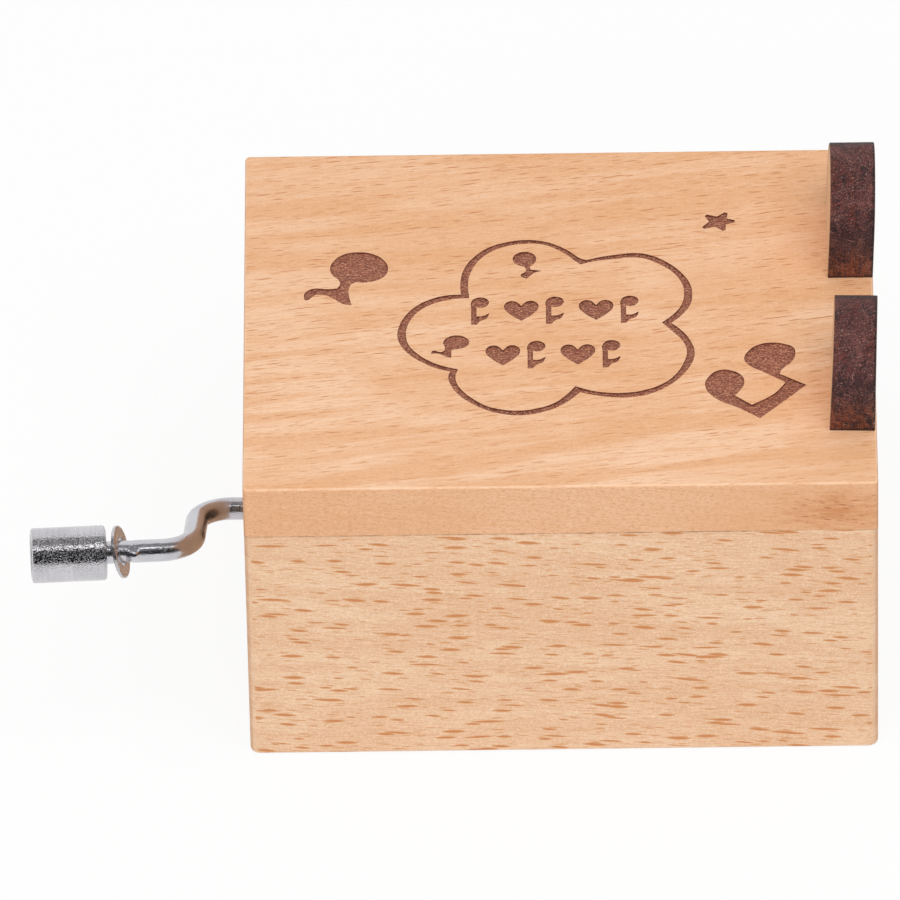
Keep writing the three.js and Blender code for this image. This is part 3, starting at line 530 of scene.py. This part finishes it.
def plated(name, tint, shade, gloss, grain, depth, lines, bare):
    material, tree, shader, place = started(name)
    fine = patches(tree, place, (grain, grain * 0.8, grain * 0.8), 0.4)
    cloudy = patches(tree, place, (3, 3, 3), 2.0)
    rings = patches(tree, place, (0.13, 7, 7), 2.0)
    tone = layered(tree, tint, (cloudy, 0.35, 0.7, 1.0, shade), (rings, 0.42, 0.62, lines, "a9a7ab"))
    # Below the bare share of the skin's height it is smooth, and only the grains above it stand out
    grains = add(tree, "MapRange", (fine, bare, bare + 0.12, 0, 1))
    surface(tree, shader, tone, gloss, weighed(tree, (fine, 1.0), (grains, 0.6)), depth, Metallic=1.0)
    return material


plated_knob = plated("nickel_plate_knob", "cfcdd1", "c6c4c8", (0.09, 0.15), 0.14, 0.018, 0.16, 0.54)
plated_wire = plated("nickel_plate_wire", "cccbd0", "c2c1c6", (0.13, 0.21), 0.13, 0.008, 0.0, 0.52)
plated_washer = plated("nickel_plate_washer", "c9c8cc", "bfbdc0", (0.2, 0.32), 0.2, 0.008, 0.0, 0.52)


# Plain finishes of the pieces inside and below. Zinc plate on steel is bluish grey with a faint
# bloom, a zinc die casting is dull with a fine skin, ground spring steel has long fine grinding
# lines, and turned brass is warm yellow.

def plain_metal(name, tint, shade, gloss, size):
    material, tree, shader, place = started(name)
    fine = patches(tree, place, size, 3.0, 0.6)
    tone = layered(tree, tint, (fine, 0.35, 0.7, 1.0, shade))
    surface(tree, shader, tone, gloss, fine, 0.01, Metallic=1.0)
    return material


zinc_plated = plain_metal("zinc_plated_steel", "c3c8cc", "a9afb4", (0.24, 0.42), (0.35, 0.35, 0.35))
cast_zinc = plain_metal("die_cast_zinc", "a6a8aa", "8f9193", (0.42, 0.6), (0.5, 0.5, 0.5))
comb_steel = plain_metal("ground_spring_steel", "b6b8ba", "96989b", (0.22, 0.38), (2.5, 0.1, 0.3))
turned_brass = plain_metal("turned_brass", "d9b263", "bd9247", (0.2, 0.34), (0.4, 0.4, 0.4))


# Moulded nylon: milky, slightly waxy white, even in colour
def moulded_nylon():
    material, tree, shader, place = started("moulded_nylon")
    fine = patches(tree, place, (0.6, 0.6, 0.6), 2.0)
    tone = layered(tree, "efece2", (fine, 0.3, 0.7, 1.0, "e2ddcf"))
    surface(tree, shader, tone, (0.38, 0.48), fine, 0.01, IOR=1.53)
    return material


nylon = moulded_nylon()


# Birch plywood: a pale face with fine fibres and soft figure, and its darker middle ply on the edges
def birch_plywood():
    material, tree, shader, place = started("birch_plywood")
    facing = add(tree, "SeparateXYZ", [add(tree, "TexCoord", out="Normal")]).node.outputs
    parts = add(tree, "SeparateXYZ", [place]).node.outputs
    figure = patches(tree, place, (28, 3, 3), 4.0, 0.55, 1.2)
    fibre = patches(tree, place, (2.2, 0.15, 1), 3.0, 0.6)
    flecks = spindles(tree, place, (2.4, 0.5), (1.2, 0.1), 0.5, 0.06)
    ply = product(tree, add(tree, "Math", (parts[2], PLATE / 2, PLATE / 6), operation="COMPARE"),
                  add(tree, "MapRange", (facing[2], -0.5, -0.1, 0, 1)))
    tone = layered(
        tree, "e8cfa4", (figure, 0.4, 0.7, 0.7, "d8b685"), (fibre, 0.5, 0.75, 0.45, "c09a68"),
        (flecks, 0.0, 0.5, 0.5, "a97f50"), (ply, 0.0, 1.0, 0.8, "b58b5c"))
    surface(tree, shader, tone, (0.55, 0.68), fibre, 0.03, Specular_IOR_Level=0.35)
    return material


plywood = birch_plywood()


# Case: a milled block, open above and below

def case_block():
    low, high = box_mm("case_body")
    bm = board(low, high, CASE_CORNER)
    bevel(bm, rim_edges(bm, low.z), CASE_FOOT_EDGE, 3)
    inner_low = (low.x + WALL, low.y + WALL, low.z - CUT_PAST)
    inner_high = (high.x - WALL, high.y - WALL, high.z + CUT_PAST)
    cavity = linked_object(board(inner_low, inner_high, CAVITY_CORNER, 10), "cavity")
    rebate = linked_object(board(
        (inner_low[0] - LEDGE, inner_low[1] - LEDGE, low.z - CUT_PAST),
        (inner_high[0] + LEDGE, inner_high[1] + LEDGE, PLATE), CASE_CORNER), "rebate")
    # The cone that breaks the hole's edge goes on to a little past the wall
    mouth = CRANK_HOLE + 0.5
    hole = turned([
        (0, -CUT_PAST), (CRANK_HOLE, -CUT_PAST), (CRANK_HOLE, WALL - HOLE_EDGE),
        (mouth, WALL + mouth - CRANK_HOLE - HOLE_EDGE), (mouth, WALL + CUT_PAST),
        (0, WALL + CUT_PAST)], 48)
    bmesh.ops.rotate(hole, cent=(0, 0, 0), matrix=Matrix.Rotation(pi / 2, 3, "Y"), verts=hole.verts)
    bmesh.ops.translate(hole, vec=(high.x - WALL, CRANK_AXIS[1], CRANK_AXIS[2]), verts=hole.verts)
    pilots = []
    for x in (-SCREW_X, SCREW_X):
        for y in (-SCREW_Y, SCREW_Y):
            start = PLATE - CUT_PAST
            pilot = turned([(0, start), (PILOT, start), (PILOT, PILOT_TOP), (0, PILOT_TOP)], 16)
            bmesh.ops.translate(pilot, vec=(x, y, 0), verts=pilot.verts)
            pilots.append(linked_object(pilot, "pilot"))
    carved = carve(bm, [cavity, rebate, linked_object(hole, "hole"), *pilots])
    return place_mesh(carved, "case_block", [beech_case], "case", ["case_body"])


# Engraved outlines on the lid, in millimetres: (x, y), and True for a sharp corner

# The line round the cloud: its outer and its inner edge
CLOUD_OUTER = [
    (11.07, 7.82, True), (12.33, 7.38), (13.85, 6.43), (15.12, 5.29), (16.00, 3.97), (16.38, 2.66),
    (16.26, 1.17), (15.62, -0.50), (14.48, -1.98), (13.08, -2.96), (11.50, -3.53), (9.95, -3.65, True),
    (9.97, -5.64), (9.51, -7.70), (8.48, -9.37), (6.95, -10.73), (5.16, -11.45), (3.38, -11.72),
    (1.59, -11.50), (0.07, -10.83), (-1.25, -9.83), (-2.22, -8.87), (-2.88, -8.59, True),
    (-4.25, -9.02), (-6.04, -9.36), (-7.83, -9.56), (-9.35, -9.23), (-11.12, -8.07), (-12.51, -6.54),
    (-13.38, -4.83), (-13.59, -3.33), (-13.34, -1.65), (-12.41, -0.06), (-11.44, 1.00, True),
    (-12.42, 2.07), (-13.29, 3.57), (-13.75, 5.44), (-13.40, 7.11), (-12.34, 8.95), (-10.94, 10.41),
    (-9.15, 11.48), (-7.13, 11.97), (-5.36, 11.93), (-3.34, 11.53), (-2.08, 11.13, True),
    (-1.06, 12.26), (0.08, 13.20), (1.73, 13.99), (3.75, 14.43), (5.77, 14.21), (7.54, 13.51),
    (9.05, 12.45), (10.31, 11.13), (10.99, 9.82), (11.24, 8.70)]
CLOUD_INNER = [
    (10.25, 7.50, True), (11.70, 7.02), (13.09, 6.26), (14.36, 5.12), (15.17, 3.98), (15.50, 2.67),
    (15.42, 1.18), (14.86, -0.30), (13.84, -1.59), (12.4, -2.47), (10.79, -2.97), (9.09, -3.09, True),
    (9.21, -5.25), (8.87, -7.12), (7.98, -8.87), (6.66, -10.14), (4.88, -10.92), (3.12, -11.18),
    (1.62, -11.03), (0.37, -10.4), (-0.82, -9.46), (-1.70, -8.47), (-2.26, -7.93, True),
    (-3.49, -8.35), (-5.27, -8.65), (-7.28, -8.9), (-8.75, -8.7), (-10.26, -7.85), (-11.62, -6.63),
    (-12.57, -4.85), (-12.75, -3.23), (-12.46, -1.67), (-11.60, -0.26), (-10.47, 0.91, True),
    (-11.53, 2.24), (-12.58, 3.75), (-12.96, 5.35), (-12.62, 6.91), (-11.71, 8.75), (-10.43, 10.03),
    (-8.6, 10.92), (-6.63, 11.28), (-4.60, 11.2), (-3.09, 10.85), (-1.63, 10.22, True),
    (-0.43, 11.81), (0.71, 12.79), (2.26, 13.42), (4.00, 13.74), (5.74, 13.56), (7.28, 13.04),
    (8.55, 12.09), (9.68, 10.88), (10.36, 9.65), (10.51, 8.53)]

STAR_TIPS = [(-15.1, -15.1), (-17.2, -15.45), (-18.05, -14.15), (-16.95, -12.8), (-14.8, -13.2)]
# Its notches lie at this share of the way from its middle to the line between two tips, and its
# tips are blunt, twice this many millimetres wide
STAR_WAIST = 0.68
STAR_BLUNT = 0.17

SINGLE_NOTE = [
    (23.26, -7.76), (22.88, -8.88), (21.94, -9.84), (20.46, -10.19), (18.93, -9.9), (17.76, -8.9),
    (17.35, -7.76), (17.66, -6.61), (18.55, -5.91), (19.69, -5.63), (20.84, -5.58), (21.3, -4.91),
    (21.32, -3.6), (21.06, -2.25, True), (21.93, -2.45), (22.87, -3.22), (23.89, -3.83),
    (24.78, -3.81), (25.54, -3.08), (25.87, -3.12, True), (25.85, -4.06), (25.42, -4.57),
    (24.78, -4.82), (23.51, -4.7), (22.55, -4.78, True), (22.26, -5.3), (22.34, -5.98), (22.95, -6.7)]
BEAMED_NOTES = [
    (-18.75, 6.5), (-19.2, 5.3), (-20.2, 4.4), (-21.5, 4.1), (-22.8, 4.3), (-23.7, 4.8),
    (-23.95, 5.7), (-23.6, 6.9), (-22.5, 8.2), (-22.3, 8.75, True), (-25.0, 10.45, True),
    (-20.25, 15.3, True), (-18.2, 13.8), (-15.6, 12.1), (-14.75, 10.4), (-15.1, 9.1), (-16.2, 8.1),
    (-17.5, 8.2), (-18.5, 9.0), (-18.7, 10.1), (-18.3, 11.1), (-17.75, 11.9, True),
    (-19.45, 13.3, True), (-21.7, 11.7), (-22.9, 10.05, True), (-20.6, 8.4), (-19.3, 7.5)]
TINY_NOTE_ONE = [
    (4.65, -8.85), (4.3, -9.6), (3.45, -9.95), (2.55, -9.6), (2.25, -8.85), (2.5, -8.1),
    (2.9, -7.65), (2.8, -7.25, True), (1.65, -7.05, True), (2.4, -6.8), (3.25, -5.85, True),
    (3.85, -6.4), (3.3, -7.05), (3.45, -7.7, True), (4.3, -8.1)]
TINY_NOTE_TWO = [
    (11.75, 3.5), (11.3, 2.75), (10.35, 2.45), (9.4, 2.85), (9.1, 3.5), (9.5, 4.2), (10.4, 4.5),
    (10.9, 4.6, True), (10.95, 5.8, True), (11.6, 5.55), (12.2, 5.15), (13.0, 5.15, True),
    (12.8, 4.7), (11.95, 4.9), (11.55, 4.6, True), (11.6, 4.1)]

# Plain marks inside the cloud: a heart 3 mm high, and a quaver with its flag 4 mm high. Each row
# has its y and the marks' places along it.
HEART = [
    (0, 1.5, True), (-1.2, 0.45), (-1.75, -0.5), (-1.45, -1.3), (-0.7, -1.45), (0, -0.75, True),
    (0.7, -1.45), (1.45, -1.3), (1.75, -0.5), (1.2, 0.45)]
QUAVER = [
    (1.3, -1.35), (0.85, -1.95), (0.0, -2.0), (-0.5, -1.45), (-0.3, -0.8), (0.25, -0.5),
    (0.75, -0.6, True), (0.75, 0.75, True), (0.1, 0.7), (-0.55, 0.3, True), (-0.25, 1.1),
    (0.35, 1.45), (0.75, 2.0, True), (1.3, 2.0, True), (1.3, -0.4)]
MARK_ROWS = [(-1.1, (-7.6, -3.8, 0.0, 3.8, 7.6)), (5.5, (-5.7, -1.9, 1.9, 5.7))]
ENGRAVING_DEPTH = 0.2


def star_outline():
    """A hand-sized star with blunt tips."""
    middle = sum((Vector(tip) for tip in STAR_TIPS), Vector((0, 0))) / len(STAR_TIPS)
    points = []
    for index, tip in enumerate(STAR_TIPS):
        after = Vector(STAR_TIPS[(index + 1) % len(STAR_TIPS)])
        out = (Vector(tip) - middle).normalized()
        side = Vector((-out.y, out.x)) * STAR_BLUNT
        waist = middle + ((Vector(tip) + after) / 2 - middle) * STAR_WAIST
        points += [(*(Vector(tip) + side), True), (*(Vector(tip) - side), True), (*waist, True)]
    return points


def moved(outline, x, y):
    return [(point[0] + x, point[1] + y, *point[2:]) for point in outline]


def engraving(top):
    """Everything engraved on the lid, as one cutter whose floor lies under the lid's top."""
    outlines = [CLOUD_OUTER, CLOUD_INNER, star_outline(), SINGLE_NOTE, BEAMED_NOTES, TINY_NOTE_ONE,
                TINY_NOTE_TWO]
    for y, places in MARK_ROWS:
        for place, x in enumerate(places):
            outlines.append(moved(HEART if place % 2 else QUAVER, x, y))
    flat = bpy.data.curves.new("engraving", "CURVE")
    flat.dimensions = "2D"
    flat.fill_mode = "BOTH"
    flat.resolution_u = 5
    flat.extrude = ENGRAVING_DEPTH
    for outline in outlines:
        line = flat.splines.new("BEZIER")
        line.bezier_points.add(len(outline) - 1)
        line.use_cyclic_u = True
        for knot, point in zip(line.bezier_points, outline):
            knot.co = (point[0], point[1], 0)
            sharp = len(point) > 2 and point[2]
            knot.handle_left_type = knot.handle_right_type = "VECTOR" if sharp else "AUTO"
    drawn = bpy.data.objects.new("engraving", flat)
    bpy.context.scene.collection.objects.link(drawn)
    bpy.context.view_layer.update()
    bm = bmesh.new()
    bm.from_mesh(drawn.evaluated_get(bpy.context.evaluated_depsgraph_get()).to_mesh())
    bpy.data.objects.remove(drawn)
    bmesh.ops.remove_doubles(bm, verts=bm.verts, dist=SAME)
    bmesh.ops.recalc_face_normals(bm, faces=bm.faces)
    bmesh.ops.translate(bm, vec=(0, 0, top), verts=bm.verts)
    # The cut faces take the second of the lid's materials
    for face in bm.faces:
        face.material_index = 1
    return linked_object(bm, "engraving")


def lid_board():
    low, high = box_mm("lid")
    bm = board(low, high, LID_CORNER)
    bevel(bm, rim_edges(bm, high.z), LID_RIM_EDGE, 3)
    carved = carve(bm, [engraving(high.z)])
    return place_mesh(carved, "lid_board", [beech_lid, engraved], "case", ["lid"])


# Ears: laser-cut tabs, glued upright on the lid

def ear_tab(node, y, lean, turn, burnt):
    """Made upright over the origin: y is the tab's width, and x its thickness.

    The outer side's rim is burnt away towards the top, by so many millimetres.
    """
    top = box_mm("lid")[1].z
    half = EAR_WIDTH / 2
    bm = bmesh.new()
    start = bm.verts.new((-EAR_THICKNESS / 2, half, EAR_STRAIGHT))
    bmesh.ops.spin(bm, geom=[start], cent=(-EAR_THICKNESS / 2, 0, EAR_STRAIGHT), axis=(1, 0, 0),
                   dvec=(0, 0, 0), angle=pi, steps=40, use_merge=False, use_duplicate=False)
    ends = [v for v in bm.verts if abs(v.co.z - EAR_STRAIGHT) < SAME]
    feet = [bm.verts.new((v.co.x, v.co.y, 0)) for v in ends]
    for end, foot in zip(ends, feet):
        bm.edges.new((end, foot))
    bm.edges.new(feet)
    face = bmesh.ops.contextual_create(bm, geom=list(bm.edges))["faces"][0]
    grown = bmesh.ops.extrude_face_region(bm, geom=[face])["geom"]
    bmesh.ops.translate(bm, vec=(EAR_THICKNESS, 0, 0),
                        verts=[v for v in grown if isinstance(v, bmesh.types.BMVert)])
    bmesh.ops.recalc_face_normals(bm, faces=bm.faces)
    # The flat sides are smoked, and the cut edge round them is charred
    for side in bm.faces:
        side.material_index = 1 if abs(side.normal.x) > 0.9 else 0
    rims = [e for e in bm.edges
            if len({f.material_index for f in e.link_faces}) == 2
            and max(v.co.z for v in e.verts) > SAME]
    bevel(bm, rims, EAR_RIM_EDGE, 2)
    outline = bm.loops.layers.uv.new("outline")
    through = bm.loops.layers.uv.new("through")
    for side in bm.faces:
        for loop in side.loops:
            loop[outline].uv = (loop.vert.co.y, loop.vert.co.z)
            loop[through].uv = (loop.vert.co.x, loop.vert.co.z)
    # The outer side is burnt in more and more towards the top, and the top down from half-way up
    tall = EAR_STRAIGHT + half
    for vert in bm.verts:
        share = vert.co.z / tall
        if vert.co.x < 0:
            vert.co.x += burnt * share
        vert.co.z -= burnt * max(0.0, share - 0.5) * 2
    leaned = Matrix.Identity(4)
    leaned[0][2] = -tan(lean)
    matrix = Matrix.Translation((EAR_X, y, top)) @ Matrix.Rotation(turn, 4, "Z") @ leaned
    bmesh.ops.transform(bm, matrix=matrix, verts=bm.verts)
    return place_mesh(bm, node + "_tab", [charred, smoked], "case", [node])


# Crank: one bent wire, its knob and its loose washer

def from_arm_plane():
    """Carries the crank's own plane, x along its axis and y along the arm, to its place."""
    return Matrix.Translation(CRANK_AXIS) @ Matrix.Rotation(CRANK_RISE, 4, "X")


def handle_frame():
    """Carries a piece made along z, from the handle's start, to its place in the crank's plane."""
    x = WIRE_START + FIRST_STRAIGHT
    y = 0.0
    x += BEND * sin(FIRST_TURN)
    y += BEND * (1 - cos(FIRST_TURN))
    x += ARM_STRAIGHT * cos(FIRST_TURN)
    y += ARM_STRAIGHT * sin(FIRST_TURN)
    splay = FIRST_TURN - SECOND_TURN
    x += BEND * (sin(FIRST_TURN) - sin(splay))
    y += BEND * (cos(splay) - cos(FIRST_TURN))
    along_x = Matrix.Rotation(pi / 2, 4, "Y")
    return Matrix.Translation((x, y, 0)) @ Matrix.Rotation(splay, 4, "Z") @ along_x


def crank():
    """A ring of the wire's section, pushed along its straights and spun round its bends."""
    bm = bmesh.new()
    bend_steps = 20
    lug_steps = 24
    first = bmesh.ops.create_circle(bm, cap_ends=False, segments=28, radius=WIRE)["verts"]
    turn = Matrix.Rotation(pi / 2, 3, "Y")
    bmesh.ops.rotate(bm, cent=(0, 0, 0), matrix=turn, verts=first)
    bmesh.ops.translate(bm, vec=(WIRE_START, 0, 0), verts=first)
    ring = {"edges": list(bm.edges), "heading": 0.0, "at": Vector((WIRE_START, 0, 0))}

    def ring_verts():
        return list(dict.fromkeys(v for e in ring["edges"] for v in e.verts))

    def push(length):
        made = bmesh.ops.extrude_edge_only(bm, edges=ring["edges"])["geom"]
        way = Vector((cos(ring["heading"]), sin(ring["heading"]), 0)) * length
        verts = [g for g in made if isinstance(g, bmesh.types.BMVert)]
        bmesh.ops.translate(bm, vec=way, verts=verts)
        inside = set(verts)
        ring["edges"] = [g for g in made if isinstance(g, bmesh.types.BMEdge)
                         and all(v in inside for v in g.verts)]
        ring["at"] = ring["at"] + way

    def bend(angle):
        side = 1 if angle > 0 else -1
        heading = ring["heading"]
        centre = ring["at"] + Vector((-sin(heading), cos(heading), 0)) * BEND * side
        made = bmesh.ops.spin(
            bm, geom=ring_verts() + ring["edges"], cent=centre, axis=(0, 0, 1), dvec=(0, 0, 0),
            angle=angle, steps=bend_steps, use_merge=False, use_duplicate=False)["geom_last"]
        ring["edges"] = [g for g in made if isinstance(g, bmesh.types.BMEdge)]
        ring["heading"] = heading + angle
        ring["at"] = centre + Matrix.Rotation(angle, 3, "Z") @ (ring["at"] - centre)

    push(FIRST_STRAIGHT)
    bend(FIRST_TURN)
    push(ARM_STRAIGHT)
    bend(-SECOND_TURN)
    push(LUG_MIDDLE - LUG_HALF)
    for _ in range(lug_steps):
        push(2 * LUG_HALF / lug_steps)
    push(HANDLE - RIVET_LENGTH - LUG_MIDDLE - LUG_HALF)

    place = handle_frame()
    back = place.inverted()
    # The stop lugs are pinched out of the wire along the arm's plane: two small wings, with
    # the dents of the pincers between them, and the metal a little crumpled
    for vert in bm.verts:
        spot = back @ vert.co
        off = abs(spot.z - LUG_MIDDLE) / LUG_HALF
        on_skin = abs(hypot(spot.x, spot.y) - WIRE) < 0.01
        if off < 1 and on_skin:
            press = (1 - off ** 2) ** 2
            wing = max(0.0, abs(spot.y) / WIRE - LUG_WING) / (1 - LUG_WING)
            dent = max(0.0, abs(spot.x) / WIRE - LUG_WING) / (1 - LUG_WING)
            crumple = LUG_CRUMPLE * press * noise.noise(spot * LUG_CRUMPLES_PER_MM)
            spot.y *= 1 + press * wing * (LUG_REACH / WIRE - 1) + crumple
            spot.x *= 1 - press * dent * LUG_DENT + crumple
            vert.co = place @ spot

    # The riveted end: a low dome
    for share, forward in RIVET_DOME:
        push(forward)
        verts = ring_verts()
        reach = max((v.co - ring["at"]).length for v in verts)
        for vert in verts:
            vert.co = ring["at"] + (vert.co - ring["at"]) * (RIVET * share) / reach
    bmesh.ops.edgeloop_fill(bm, edges=ring["edges"])
    start = [e for e in bm.edges if len(e.link_faces) == 1]
    bmesh.ops.edgeloop_fill(bm, edges=start)
    bmesh.ops.recalc_face_normals(bm, faces=bm.faces)
    bmesh.ops.transform(bm, matrix=from_arm_plane(), verts=bm.verts)
    return place_mesh(bm, "crank_wire_bent", [plated_wire], "crank", ["crank_wire"], 40)


def knob_turned():
    edge = KNOB_EDGE
    # The middle of a rounded edge lies this far in from both of its faces
    inset = edge * 0.3
    lip = COUNTERBORE_EDGE
    bottom = KNOB_LENGTH - COUNTERBORE_DEPTH
    profile = [
        (KNOB_BORE, KNOB_BORE_EDGE), (KNOB_BORE + KNOB_BORE_EDGE, 0), (KNOB - edge, 0),
        (KNOB - inset, inset), (KNOB, edge), (KNOB, KNOB_LENGTH - edge),
        (KNOB - inset, KNOB_LENGTH - inset), (KNOB - edge, KNOB_LENGTH),
        (COUNTERBORE + lip, KNOB_LENGTH), (COUNTERBORE, KNOB_LENGTH - lip), (COUNTERBORE, bottom),
        (KNOB_BORE, bottom)]
    bm = turned(profile, 72)
    matrix = from_arm_plane() @ handle_frame() @ Matrix.Translation((0, 0, KNOB_FROM))
    bmesh.ops.transform(bm, matrix=matrix, verts=bm.verts)
    return place_mesh(bm, "knob_turned", [plated_knob], "knob", ["knob"])


def washer_stamped():
    # The stamp rolls the edges over on one side, most on the rim, and leaves them sharper on the other
    half = WASHER_THICKNESS / 2
    soft = WASHER_EDGE
    rolled = soft * 1.3
    sharp = soft * 0.5
    bm = turned([
        (WASHER_HOLE, -half + soft), (WASHER_HOLE + soft, -half), (WASHER - rolled, -half),
        (WASHER, -half + soft), (WASHER, half - sharp), (WASHER - sharp, half),
        (WASHER_HOLE + sharp, half), (WASHER_HOLE, half - sharp)], 64)
    askew = Matrix.Rotation(WASHER_NOD, 4, "Y") @ Matrix.Rotation(WASHER_TURN, 4, "X")
    matrix = from_arm_plane() @ handle_frame() @ Matrix.Translation((0, 0, WASHER_AT)) @ askew
    bmesh.ops.transform(bm, matrix=matrix, verts=bm.verts)
    return place_mesh(bm, "washer_stamped", [plated_washer], "washer", ["knob_washer"])


case_block()
lid_board()
for ear, stance in EARS.items():
    ear_tab(ear, **stance)
crank()
knob_turned()
washer_stamped()

FINISHES = {
    "bottom_plate": plywood, "movement_base": cast_zinc, "comb": comb_steel, "cylinder": turned_brass,
    "cylinder_plug": nylon, "drive_gear": nylon, "cylinder_arbor": comb_steel, "worm": turned_brass,
    "shaft_clip": comb_steel,
}
for name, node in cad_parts.items():
    finish = FINISHES.get(name, zinc_plated)
    node.data.materials.clear()
    node.data.materials.append(finish)


# Stage: a pale floor, a key softbox from the ears' end, a fill from the crank's end, an even room.
# Its sizes are in metres.

FLOOR_HALF = 3
FLOOR_GAP = 0.05 * MM
# The floor is open below the case, but for this much all round
FLOOR_TUCK = 1 * MM
# How white the floor is where the camera or something shiny sees it
FLOOR_GLOW = 0.9
ROOM_LIGHT = 0.55
CARD_RADIUS = 0.6
CARD_HALF_LENGTH = 1.2
LAMPS_AIM = (0, 0, 0.02)


def seen_directly(tree):
    """1 for a ray from the camera or off shiny or clear surfaces, so that they show a white room."""
    path = add(tree, "LightPath").node.outputs
    shiny = add(tree, "Math", (path["Is Glossy Ray"], path["Is Transmission Ray"]), operation="MAXIMUM")
    return add(tree, "Math", (path["Is Camera Ray"], shiny), operation="MAXIMUM")


def stage_object(bm, name, material):
    made = linked_object(bm, name)
    made.data.materials.append(material)
    return made


def floor():
    material, tree, shader, _ = started("white_floor")
    shader.inputs["Base Color"].default_value = colour("f4f4f4")
    shader.inputs["Roughness"].default_value = 0.9
    shader.inputs["Specular IOR Level"].default_value = 0.0
    glow = add(tree, "Emission", {"Color": (1, 1, 1, 1), "Strength": 1.0})
    share = product(tree, seen_directly(tree), FLOOR_GLOW)
    blend = add(tree, "MixShader", (share, shader.outputs[0], glow))
    # From below the floor is clear, so that the underside can be seen
    blend = add(tree, "MixShader", (add(tree, "NewGeometry", out="Backfacing"), blend,
                                    add(tree, "BsdfTransparent")))
    output = next(n for n in tree.nodes if n.type == "OUTPUT_MATERIAL")
    tree.links.new(blend, output.inputs["Surface"])
    bm = bmesh.new()
    bmesh.ops.create_grid(bm, x_segments=3, y_segments=3, size=FLOOR_HALF)
    bmesh.ops.translate(bm, vec=(0, 0, -FLOOR_GAP), verts=bm.verts)
    # It is open below the case, where no shadow is seen, so that light reaches the underside
    case_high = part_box("case_body")[1]
    for vert in bm.verts:
        for axis in (0, 1):
            if abs(vert.co[axis]) < FLOOR_HALF / 2:
                vert.co[axis] = copysign(case_high[axis] - FLOOR_TUCK, vert.co[axis])
    middle = min(bm.faces, key=lambda face: face.calc_center_median().length)
    bmesh.ops.delete(bm, geom=[middle], context="FACES")
    stage_object(bm, "floor", material)


def card(name, start, end, brightness):
    """A long curved card over the object, between two angles up from behind the case.

    Only shiny surfaces see it: dark cards shape the metal's reflections, a lit one puts a line in them.
    """
    material = bpy.data.materials.new(name)
    material.use_nodes = True
    tree = material.node_tree
    tree.nodes.clear()
    glow = add(tree, "Emission", {"Color": (1, 1, 1, 1), "Strength": brightness})
    output = tree.nodes.new("ShaderNodeOutputMaterial")
    tree.links.new(glow, output.inputs["Surface"])
    bm = bmesh.new()
    ends = [bm.verts.new((x, CARD_RADIUS * cos(start), CARD_RADIUS * sin(start)))
            for x in (-CARD_HALF_LENGTH, CARD_HALF_LENGTH)]
    edge = bm.edges.new(ends)
    bmesh.ops.spin(bm, geom=[*ends, edge], cent=(0, 0, 0), axis=(1, 0, 0), dvec=(0, 0, 0),
                   angle=end - start, steps=24, use_merge=False, use_duplicate=False)
    made = stage_object(bm, name, material)
    made.visible_camera = False
    made.visible_diffuse = False
    made.visible_shadow = False
    made.visible_transmission = False


def softbox(name, place, size, power):
    lamp = bpy.data.lights.new(name, "AREA")
    lamp.shape = "SQUARE"
    lamp.size = size
    lamp.energy = power
    made = bpy.data.objects.new(name, lamp)
    made.location = place
    made.rotation_mode = "QUATERNION"
    made.rotation_quaternion = (Vector(place) - Vector(LAMPS_AIM)).to_track_quat("Z", "Y")
    bpy.context.scene.collection.objects.link(made)


def room():
    world = bpy.data.worlds.new("even_room")
    world.use_nodes = True
    tree = world.node_tree
    tree.nodes.clear()
    strength = add(tree, "MapRange", (seen_directly(tree), 0, 1, ROOM_LIGHT, 1.0))
    ground = add(tree, "Background", {"Color": (1, 1, 1, 1), "Strength": strength})
    output = tree.nodes.new("ShaderNodeOutputWorld")
    tree.links.new(ground, output.inputs["Surface"])
    bpy.context.scene.world = world


def camera():
    """The photograph's own view, found from the case's corners and the crank."""
    azimuth, elevation, roll = radians(180.7145), radians(43.2116), radians(-1.1997)
    distance, target = 1943.5 * MM, Vector((11.3292, 0, 18.7499)) * MM
    back = Vector((sin(azimuth) * cos(elevation), -cos(azimuth) * cos(elevation), sin(elevation)))
    right = Vector((0, 0, 1)).cross(back).normalized()
    up = back.cross(right)
    across = right * cos(roll) + up * sin(roll)
    upward = up * cos(roll) - right * sin(roll)
    lens = bpy.data.cameras.new("camera")
    lens.sensor_width = 36
    lens.lens = 760.4
    lens.clip_start = 0.1
    made = bpy.data.objects.new("camera", lens)
    axes = Matrix((across, upward, back)).transposed().to_4x4()
    made.matrix_world = Matrix.Translation(target + back * distance) @ axes
    bpy.context.scene.collection.objects.link(made)
    bpy.context.scene.camera = made


floor()
room()
softbox("key_softbox", (-0.12, 0.3, 0.85), 0.7, 4.2)
softbox("fill_softbox", (0.45, 0.6, 0.45), 0.6, 1.1)
card("dark_card_low", radians(6), radians(69), 0.015)
card("lit_strip", radians(70), radians(73), 3.0)
card("dark_card_high", radians(74.5), radians(116), 0.19)
camera()

view = bpy.context.scene.view_settings
view.view_transform = "Standard"
